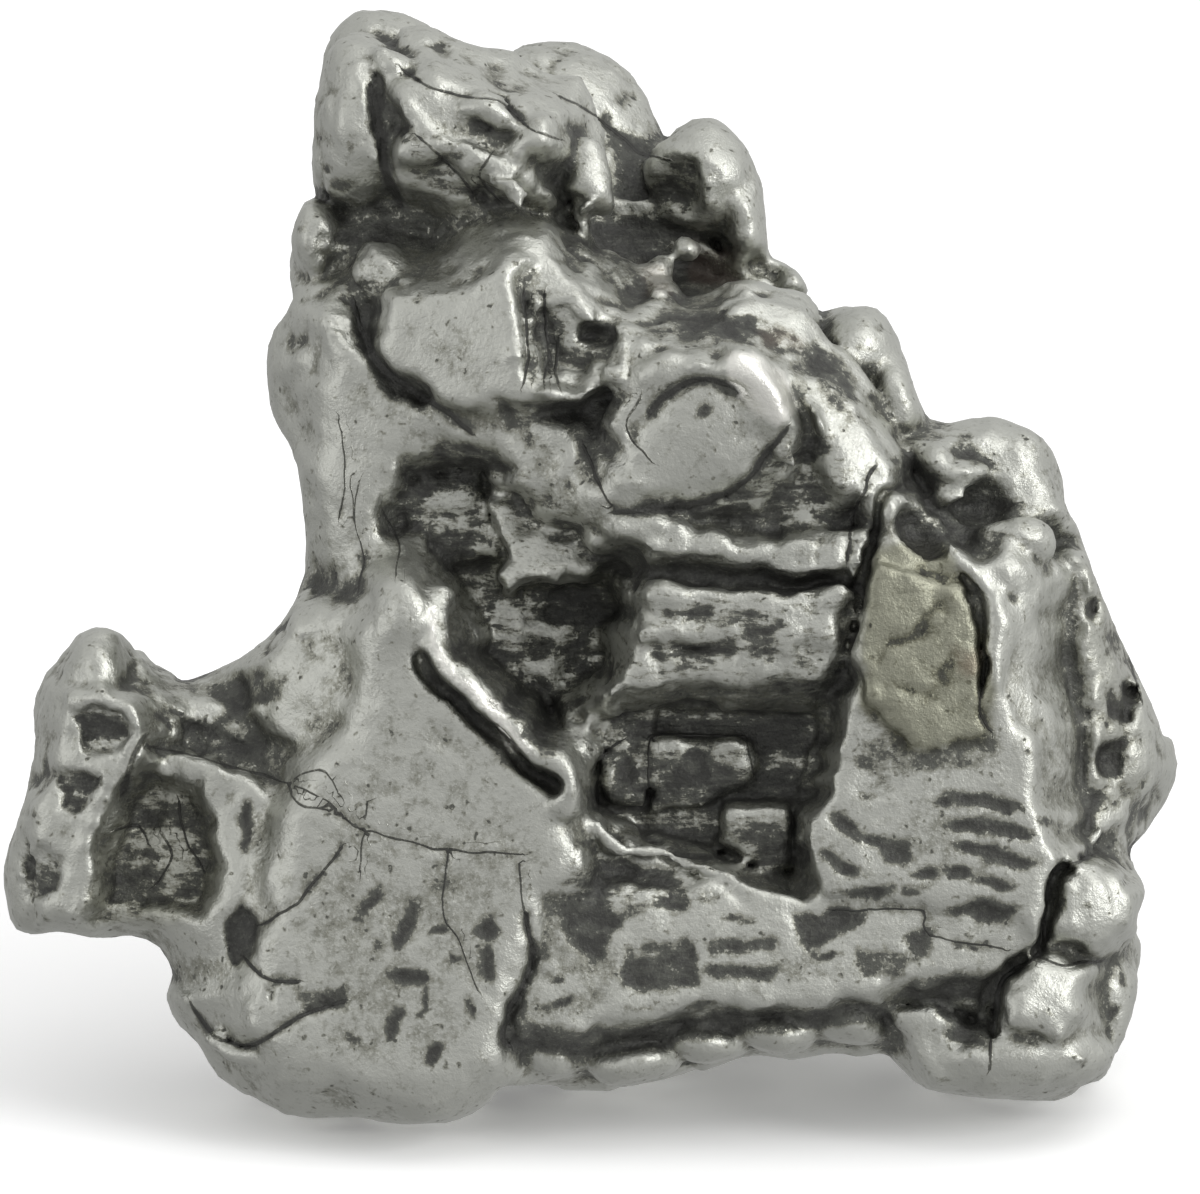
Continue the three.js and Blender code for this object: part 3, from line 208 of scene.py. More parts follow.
    {"name": "right foot", "kind": "lump", "at": (30, 31.5, 3.8), "half": (3.2, 1.5, 3.2),
     "blend": 0.5},
    {"name": "foot plate", "kind": "slab", "out": 6.5, "tilt": (0, -0.1), "draft": 0.3,
     "edge": 0.5, "blend": 0.3,
     "outline": [(26.9, 30.3), (28.2, 30.1), (29.8, 30.9), (31.6, 31.3), (32.2, 31.6), (31, 32.4),
     (28.4, 32.2), (27.2, 31.6)]},
    {"name": "back right lobe", "kind": "lump", "at": (33.3, 29.8, 1.2), "half": (1, 1.9, 2.4),
     "blend": 0.5},
    {"name": "bottom lump 1", "kind": "lump", "at": (16.4, 31.6, 4.6), "half": (1.6, 0.7, 2),
     "blend": 0.3},
    {"name": "bottom lump 2", "kind": "lump", "at": (18.9, 31.7, 5.2), "half": (1.5, 0.7, 1.8),
     "blend": 0.3},
    {"name": "bottom lump 3", "kind": "lump", "at": (21, 31.2, 5.2), "half": (1.3, 0.65, 1.6),
     "blend": 0.3},
    {"name": "bottom lump 4", "kind": "lump", "at": (23.2, 30.8, 5.2), "half": (1.4, 0.65, 1.7),
     "blend": 0.3},
    {"name": "bottom lump 5", "kind": "lump", "at": (25.4, 30.6, 5.2), "half": (1.2, 0.7, 1.7),
     "blend": 0.3},
    {"name": "left foot knob", "kind": "lump", "at": (12.9, 32, 5.2), "half": (2.1, 1.5, 2.5),
     "blend": 0.5},
    {"name": "left lobe of the top", "kind": "lump", "at": (10.8, 3.8, 0.2), "half": (1.5, 2.8, 3),
     "blend": 0.5},
    {"name": "ridge of the top", "kind": "slab", "out": 4.2, "tilt": (-0.1, 0.2), "draft": 0.5,
     "edge": 0.6, "blend": 0.5,
     "outline": [(12, 3), (12.9, 2.4), (14.6, 3.3), (16.3, 3.9), (16.5, 4.7), (16.2, 5.5),
     (15.2, 5.6), (14, 5), (12.8, 4.6), (12, 4.4)]},
    {"name": "ridge lobe wedge", "kind": "slab", "out": 3.4, "tilt": (0.1, -0.3), "draft": 0.5,
     "edge": 0.3, "blend": 0.3,
     "outline": [(12.1, 4.4), (13.5, 4.9), (14.7, 5.7), (13.8, 6.2), (12.2, 5.5)]},
    {"name": "top chip", "kind": "lump", "at": (11.7, 2, 2.2), "half": (0.7, 0.6, 0.9), "spin": 35,
     "blend": 0.4},
    {"name": "top tooth", "kind": "lump", "at": (16.1, 4.5, 3.7), "half": (0.9, 1, 1.3),
     "blend": 0.4},
    {"name": "ridge knuckle", "kind": "lump", "at": (14.6, 3.5, 3.9), "half": (1.1, 0.5, 0.8),
     "spin": 25, "blend": 0.3},
    {"name": "ridge fold", "kind": "rib", "radius": 0.3, "blend": 0.3,
     "path": [(12.3, 3.5, 4), (13.2, 4.4, 4.3), (14.4, 4.8, 4.4), (15.4, 5.4, 4.4)]},
    {"name": "second tooth", "kind": "rib", "radius": 0.75, "blend": 0.3,
     "path": [(17.5, 4.7, 1.7), (17.9, 6.3, 2.3)]},
    {"name": "upper knob", "kind": "lump", "at": (21.2, 5.4, -1.3), "half": (1.8, 1.8, 2.7),
     "blend": 0.5},
    {"name": "upper knob arm", "kind": "lump", "at": (22.3, 6.6, -1), "half": (0.8, 1.8, 2.2),
     "blend": 0.5},
    {"name": "hump", "kind": "lump", "at": (22.6, 9.8, 2.6), "half": (2.2, 1.4, 2.2), "blend": 0.4},
    {"name": "small shoulder", "kind": "lump", "at": (23.5, 8.3, -1.2), "half": (1, 0.6, 1.6),
     "spin": 30, "blend": 0.4},
    {"name": "right shoulder", "kind": "lump", "at": (25.8, 10.7, 1.2), "half": (1.4, 1.5, 2.8),
     "blend": 0.4},
    {"name": "right shoulder flank", "kind": "lump", "at": (26.8, 12.2, 1.6),
     "half": (1, 1.7, 2.9), "blend": 0.5},
    {"name": "left small lobe", "kind": "lump", "at": (9.4, 7.3, 0.4), "half": (0.8, 1.4, 2),
     "blend": 0.4},
    {"name": "left rough lump", "kind": "lump", "at": (11.4, 8.3, 2.2), "half": (1, 1, 1.5),
     "blend": 0.4},
    {"name": "left bulge", "kind": "lump", "at": (9.2, 12, -2.6), "half": (1.1, 2.4, 3),
     "blend": 0.6},
    {"name": "saddle", "kind": "slab", "out": 5.2, "tilt": (0.6, 0.2), "draft": 0.5, "edge": 0.6,
     "blend": 0.7,
     "outline": [(9.2, 18.5), (11.1, 18), (11, 21), (9.2, 22.4), (7.7, 21.4), (7.6, 20.5)]},
    {"name": "shoulder peak", "kind": "lump", "at": (12.2, 18.3, 6), "half": (1, 1.2, 1.6),
     "blend": 1.6},
    {"name": "web", "kind": "slab", "out": 3.4, "tilt": (0.1, 0.45), "draft": 0.4, "edge": 0.4,
     "blend": 0.5,
     "outline": [(4.6, 20.9), (7, 21), (7.8, 22.2), (4.6, 21.9)]},
    {"name": "plate round the socket", "kind": "slab", "out": 4.8, "tilt": (0.25, 0), "draft": 0.2,
     "edge": 0.35, "blend": 0.4,
     "outline": [(4.4, 22.3), (7.5, 23.1), (8.2, 23.7), (7.8, 25.5), (7, 27.1), (6, 27.7),
     (4.5, 27.7), (2.6, 27.6), (3.4, 24.4)]},
    {"name": "bar of the spur", "kind": "slab", "out": 5.3, "tilt": (0.4, 0), "draft": 0.4,
     "edge": 0.5, "blend": 0.3,
     "outline": [(3, 20.5), (4.5, 21.9), (3.9, 23.3), (3.3, 25), (2.5, 27.4), (1.2, 27.4),
     (0.8, 26.5), (1.5, 23.7), (1.8, 22.2), (2.2, 21)]},
    {"name": "head of the spur", "kind": "lump", "at": (3.1, 20.1, 2.6), "half": (1.1, 1.4, 2.2),
     "blend": 0.4},
    {"name": "shelf ridge", "kind": "rib", "radius": 0.3, "blend": 0.3,
     "path": [(6.4, 31, 5.2), (7.2, 31.4, 5.6), (8, 31.3, 6), (8.8, 30.7, 6.5), (9.4, 30.1, 6.9)]},
    {"name": "cavity", "kind": "hollow", "out": 3, "rim": 6.6, "tilt": (0, -0.05), "draft": 0.25,
     "blend": 0.35,
     "outline": [(11.9, 14.4), (12.6, 13.5), (14.3, 13.4), (15.9, 14.6), (17.8, 16), (18.3, 16.9),
     (18.35, 19.4), (18.2, 20.4), (17.4, 21.4), (17, 22.5), (15.8, 22), (14.2, 20.3), (13.4, 18.9),
     (12.9, 17.7), (12.2, 16.4), (11.9, 15.2)]},
    {"name": "deep of the cavity", "kind": "hollow", "out": 2.8, "rim": 3.2, "tilt": (0, 0),
     "draft": 0.3, "blend": 0.3,
     "outline": [(15.3, 17.6), (18.2, 17.2), (18.2, 19.4), (17.4, 20.4), (15.6, 19.4)]},
    {"name": "lower recess", "kind": "hollow", "out": 4.5, "rim": 7, "tilt": (0.02, 0.08),
     "draft": 0.2, "blend": 0.3,
     "outline": [(17.7, 20.9), (19.2, 20.9), (25.1, 20.9), (24.4, 23.7), (24, 26.7), (21.6, 26),
     (19.2, 25.3), (17.7, 24.3), (17.3, 22.6)]},
    {"name": "tan plate", "kind": "slab", "out": 7.72, "tilt": (-0.1, 0.02), "draft": 0.35,
     "blend": 0.15, "edge": 0.2, "torn": 0.2,
     "outline": [(25.9, 16.9), (28.5, 17.5), (29.6, 19.3), (29.4, 20.8), (29.1, 22), (27.2, 22.3),
     (26, 21.2), (25.7, 19.2)]},
    {"name": "socket", "kind": "hollow", "out": 3.9, "rim": 4.6, "tilt": (0.1, 0.1), "draft": 0.45,
     "blend": 0.25, "torn": 0.25,
     "outline": [(4.4, 23.3), (6.1, 23.5), (6.6, 25.8), (6, 27.2), (4.5, 27.3), (2.8, 27.2),
     (3.5, 25)]},
    {"name": "left valley", "kind": "hollow", "out": 1.6, "rim": 3, "tilt": (0, 0.2), "draft": 0.5,
     "blend": 0.4,
     "outline": [(9.3, 5.9), (12, 6.1), (13.6, 6.5), (14.4, 6.5), (13, 7.6), (12, 7.7),
     (10.6, 7.2)]},
    {"name": "right valley", "kind": "hollow", "out": 0.2, "rim": 3, "tilt": (0, 0.35),
     "draft": 0.4, "blend": 0.4,
     "outline": [(16.6, 5.4), (19.2, 6), (21.8, 7.4), (21.9, 8.3), (20.8, 9), (19.2, 8.6),
     (17.3, 7.3), (16.6, 6.4)]},
    {"name": "pyramid pocket", "kind": "hollow", "out": 6.1, "rim": 6.8, "tilt": (0.3, 0),
     "draft": 0.5, "blend": 0.2,
     "outline": [(15.6, 8.9), (17.2, 9), (18.5, 9.8), (18.6, 10.7), (17.8, 11.3), (16.2, 11.5)]},
    {"name": "pocket eye", "kind": "pit", "at": (18, 10, 6.3), "half": (0.55, 0.35, 0.75),
     "spin": 15, "blend": 0.2},
    {"name": "knob cavity", "kind": "pit", "at": (20.1, 5.9, 1.4), "half": (1.2, 1.1, 1.4),
     "blend": 0.6},
    {"name": "shoulder cavity", "kind": "pit", "at": (22.8, 8, 0.8), "half": (0.8, 0.5, 1.5),
     "blend": 0.3},
    {"name": "cap cavity", "kind": "pit", "at": (29.5, 15.1, 5), "half": (1.1, 0.7, 0.8),
     "blend": 0.4},
    {"name": "block top cavity", "kind": "pit", "at": (27.7, 15.8, 6.8), "half": (0.8, 0.9, 0.8),
     "spin": 40, "blend": 0.5},
    {"name": "main cleft", "kind": "groove", "width": 0.11, "floor": 6.3, "draft": 0.1,
     "blend": 0.2, "torn": 0.2,
     "path": [(26.6, 14.8), (25.9, 16.8), (25.4, 19.8), (25, 20.9), (24.4, 23.1), (24, 26.4)]},
    {"name": "cleft beside the nose", "kind": "groove", "width": 0.12, "floor": 6.7, "draft": 0.3,
     "blend": 0.3, "torn": 0.2,
     "path": [(23.5, 10.8), (23.8, 11.9), (24, 12.9), (24.3, 13.8)]},
    {"name": "cleft beside the tan plate", "kind": "groove", "width": 0.1, "floor": 7,
     "draft": 0.12, "blend": 0.2, "torn": 0.2,
     "path": [(26.9, 15.2), (28, 16.35), (28.95, 17.7), (29.45, 19.2), (29.5, 20.4)]},
    {"name": "right cleft", "kind": "groove", "width": 0.11, "floor": 6.2, "draft": 0.1,
     "blend": 0.2, "torn": 0.2,
     "path": [(32.3, 25.7), (31.4, 26.3), (31.1, 28.3), (30, 29.1), (29.7, 30.3), (29.9, 30.8)]},
    {"name": "top crack", "kind": "groove", "width": 0.12, "floor": 3, "draft": 0.2, "blend": 0.2,
     "torn": 0.2,
     "path": [(11.3, 2.8), (11.7, 3.6), (11.9, 4.6), (12, 5.8)]},
    {"name": "strap gap", "kind": "groove", "width": 0.14, "floor": 4.5, "draft": 0.2,
     "blend": 0.25,
     "path": [(10.8, 9.2), (11.2, 10.2), (11.6, 11), (12.6, 11.9)]},
    {"name": "shoulder valley", "kind": "groove", "width": 0.12, "floor": 5.8, "draft": 0.3,
     "blend": 0.2, "torn": 0.2,
     "path": [(24.9, 10.6), (25.5, 11.8), (26, 12.6), (27, 13.8)]},
    {"name": "rim valley", "kind": "groove", "width": 0.2, "floor": 4, "draft": 0.4, "blend": 0.4,
     "path": [(32.1, 17.4), (32.2, 19.4), (32.3, 21.4), (32.7, 24.6)]},
    {"name": "rim pit 1", "kind": "pit", "at": (33.7, 21, 3.6), "half": (0.5, 0.7, 0.5),
     "blend": 0.3},
    {"name": "rim pit 2", "kind": "pit", "at": (33.1, 22.6, 4), "half": (0.45, 0.55, 0.5),
     "blend": 0.3},
    {"name": "cavity wedge", "kind": "slab", "out": 4.9, "tilt": (0, 0.4), "draft": 0.1,
     "edge": 0.2, "blend": 0.2,
     "outline": [(15, 15), (16.1, 15.1), (18.1, 16.4), (17.6, 17.1), (15.2, 17.8)]},
    {"name": "cavity shelf", "kind": "slab", "out": 3.8, "tilt": (0, 0), "draft": 0.3, "edge": 0.2,
     "blend": 0.2,
     "outline": [(12.2, 14.3), (14.3, 14.1), (14.8, 15), (14.7, 16.8), (13.2, 17.1),
     (12.3, 16.2)]},
    {"name": "recess flake 1", "kind": "slab", "out": 4.9, "tilt": (0, 0.05), "draft": 0.2,
     "edge": 0.1, "blend": 0.1, "torn": 0.12,
     "outline": [(18.2, 21.5), (19.5, 21.2), (19.5, 24), (18.3, 24), (18, 22.5)]},
    {"name": "recess flake 2", "kind": "slab", "out": 4.9, "tilt": (0, 0), "draft": 0.2,
     "edge": 0.1, "blend": 0.1, "torn": 0.12,
     "outline": [(19.7, 22.2), (22.4, 22.2), (22.5, 23.4), (21.6, 24), (19.7, 24.2)]},
    {"name": "recess block", "kind": "slab", "out": 5.7, "tilt": (0, 0), "draft": 0.3,
     "edge": 0.15, "blend": 0.15, "torn": 0.12,
     "outline": [(21.9, 24.2), (23.7, 24.2), (23.6, 25.5), (23, 25.9), (21.8, 25.2)]},
    {"name": "lip of the face", "kind": "rib", "radius": 0.48, "blend": 0.15,
     "path": [(13, 18, 6.55), (13.1, 19, 7.15), (13.4, 19.9, 7.55), (14.3, 20.9, 7.75),
     (15.2, 21.8, 7.95), (15.9, 22.6, 8.05), (16.7, 22.9, 8.05), (17, 23.4, 8.05),
     (17, 24, 7.85)]},
    {"name": "groove beside the lip", "kind": "groove", "width": 0.2, "floor": 6.85, "draft": 0.08,
     "blend": 0.2, "torn": 0.1,
     "path": [(12.85, 19.7), (13.1, 20.2), (14.03, 21.2), (15.05, 22.45), (15.9, 23.15),
     (16.6, 23.5)]},
    {"name": "wedge ridge", "kind": "rib", "radius": 0.2, "blend": 0.4,
     "path": [(17, 24.2, 6.65), (18, 24.7, 6.85), (18.7, 25.3, 6.85), (19.8, 25.6, 6.85),
     (21, 26, 6.85), (22.2, 26.5, 7.05), (24, 27.1, 7.05)]},
    {"name": "plate rim", "kind": "rib", "radius": 0.22, "blend": 0.5,
     "path": [(28.4, 16.4, 7.15), (29.2, 17.4, 7.35), (29.7, 18.4, 7.45), (29.9, 19.3, 7.55),
     (29.8, 20.2, 7.55), (29.5, 21, 7.45)]},
    {"name": "valley bead 1", "kind": "lump", "at": (19.6, 8.2, 1.5), "half": (0.5, 0.5, 0.7),
     "blend": 0.2},
    {"name": "valley bead 2", "kind": "lump", "at": (20.6, 7.7, 1.1), "half": (0.4, 0.4, 0.7),
     "blend": 0.2},
    {"name": "rear foot", "kind": "lump", "at": (20, 28.7, -6.4), "half": (4.4, 2.6, 2.6),
     "blend": 1.2},
    {"name": "rear face", "kind": "slab", "side": -1, "out": 7.9, "tilt": (0.1, -0.1),
     "draft": 0.6, "edge": 0.8, "blend": 0.8,
     "outline": [(15.4, 16), (22, 15.2), (26, 18.4), (25.4, 23), (20.6, 25.6), (15.2, 24),
     (13.2, 19.6)]},
    {"name": "rear shoulder", "kind": "slab", "side": -1, "out": 6.6, "tilt": (-0.2, 0.3),
     "draft": 0.6, "edge": 0.7, "blend": 0.7,
     "outline": [(12, 8.4), (17.6, 7.6), (21.6, 10.2), (21, 14), (15.4, 14.8), (11.6, 12.6)]},
    {"name": "rear flank", "kind": "slab", "side": -1, "out": 6.4, "tilt": (-0.45, 0.05),
     "draft": 0.5, "edge": 0.6, "blend": 0.6,
     "outline": [(27.4, 17.6), (31.4, 18.8), (32.8, 23.4), (30.2, 26.4), (27, 24.6),
     (26.2, 20.6)]},
    {"name": "rear left flank", "kind": "slab", "side": -1, "out": 5.6, "tilt": (0.35, 0),
     "draft": 0.5, "edge": 0.6, "blend": 0.6,
     "outline": [(8, 22), (11.6, 20.4), (13.4, 24.2), (12, 28.2), (8.4, 28.8), (7, 25.4)]},
    {"name": "rear lobe 1", "kind": "lump", "at": (14, 4.6, -4.6), "half": (2.6, 2, 2.6),
     "blend": 0.6},
    {"name": "rear lobe 2", "kind": "lump", "at": (25.2, 13.4, -5.4), "half": (2.2, 2.6, 2.4),
     "blend": 0.6},
    {"name": "rear lobe 3", "kind": "lump", "at": (29.6, 28.6, -3.6), "half": (2.6, 2.2, 2.8),
     "blend": 0.6},
    {"name": "rear lobe 4", "kind": "lump", "at": (10, 15.6, -5), "half": (1.6, 2.2, 2.4),
     "blend": 0.6},
    {"name": "rear knob", "kind": "lump", "at": (21, 8.4, -6.4), "half": (1.6, 1.5, 2),
     "blend": 0.5},
    {"name": "rear hollow 1", "kind": "hollow", "side": -1, "out": 6.2, "rim": 8, "tilt": (0, 0.1),
     "draft": 0.6, "blend": 0.5,
     "outline": [(16.6, 18.6), (20.4, 17.6), (22, 20.2), (19.4, 22.8), (16.4, 21.8)]},
    {"name": "rear hollow 2", "kind": "hollow", "side": -1, "out": 4.8, "rim": 7, "tilt": (0.1, 0),
     "draft": 0.6, "blend": 0.5,
     "outline": [(14, 9.6), (17.2, 9.2), (17.8, 12), (14.6, 13.2)]},
    {"name": "rear pit 1", "kind": "pit", "at": (28.6, 21.4, -6.6), "half": (1.2, 1.7, 1.5),
     "blend": 0.4},
    {"name": "rear pit 2", "kind": "pit", "at": (10.8, 24.6, -5.6), "half": (1, 1.4, 1.3),
     "blend": 0.4},
    {"name": "rear pit 3", "kind": "pit", "at": (24.2, 22.8, -8), "half": (1, 0.8, 1.3),
     "blend": 0.3},
    {"name": "rear pit 4", "kind": "pit", "at": (19.4, 12.4, -7.2), "half": (0.9, 0.8, 1.3),
     "blend": 0.3},
    {"name": "rear cleft", "kind": "hollow", "side": -1, "out": 5, "rim": 8, "tilt": (0, 0),
     "draft": 0.3, "blend": 0.3,
     "outline": [(22.4, 14.6), (23, 14.8), (22.8, 19.6), (24.2, 24.4), (23.6, 24.6),
     (22.2, 19.8)]},
    {"name": "rear of the top", "kind": "lump", "at": (13.6, 3.4, -1.4), "half": (3.2, 2, 2.6),
     "blend": 0.7},
]

relief = {
    "mapStep": 0.05,
    "mapLow": -1.0,          # the flat map starts this far beyond the face's corner
    "mapHigh": (36.6, 34.6),
    "grainSize": 0.5,
    "reach": 0.8,            # how far from the surface the fine relief is worked out
    "frontFrom": -1.0,       # behind the middle of the thickness the front's marks fade out
    "frontFull": 0.6,
    "lamella": 0.20,         # height from the lowest torn terrace to the highest
    "lamellaSize": 0.55,
    "lamellaLong": 0.28,     # how much slower they change along the plates than across
    "lamellaSlant": 0.1,
    "lamellaSteps": 7,
    "noise": (
        {"size": 2.6, "height": 0.07, "shift": 1.0, "calm": 0.9},
        {"size": 0.9, "height": 0.035, "shift": 6.0, "calm": 0.9},
        {"size": 0.35, "height": 0.025, "shift": 12.0, "calm": 0.5},
    ),
    "rubbleSize": 0.9,       # broken lumps in the flaky places, with sharp creases between
    "rubbleHeight": 0.12,
    "wrinkleSize": 1.5,      # creases that run together over the places that aren't worn smooth
    "wrinkleHalf": 0.20,     # of the noise's range, on either side of a crease
    "wrinkleDepth": 0.11,
    "wrinkleDark": 0.26,
    "pitSize": 0.5,
    "pitDepth": 0.06,
    "pitFrom": 0.70,         # share of the noise above which a pit opens
    "backStair": 0.35,       # height of the terraces of the back
    "backSize": 1.4,
    "backFlat": 1.6,
    "slitDepth": 0.5,        # against the slit's half width
    "slitDark": 1.0,
    "crackDark": 0.62,
    "paintedHighlightFrom": 0.15,      # a flake whose dark is this far below nothing begins to be rubbed bare and takes a painted highlight, lighter than the polished metal
    "paintedHighlightFull": 0.4,
    "crackWide": 0.15,       # a narrower crack leaves less of a stain beside it
    "crackReach": 8.0,       # how far from a crack, in half widths, its distance is carried
    "lamellaDark": 3.2,
}

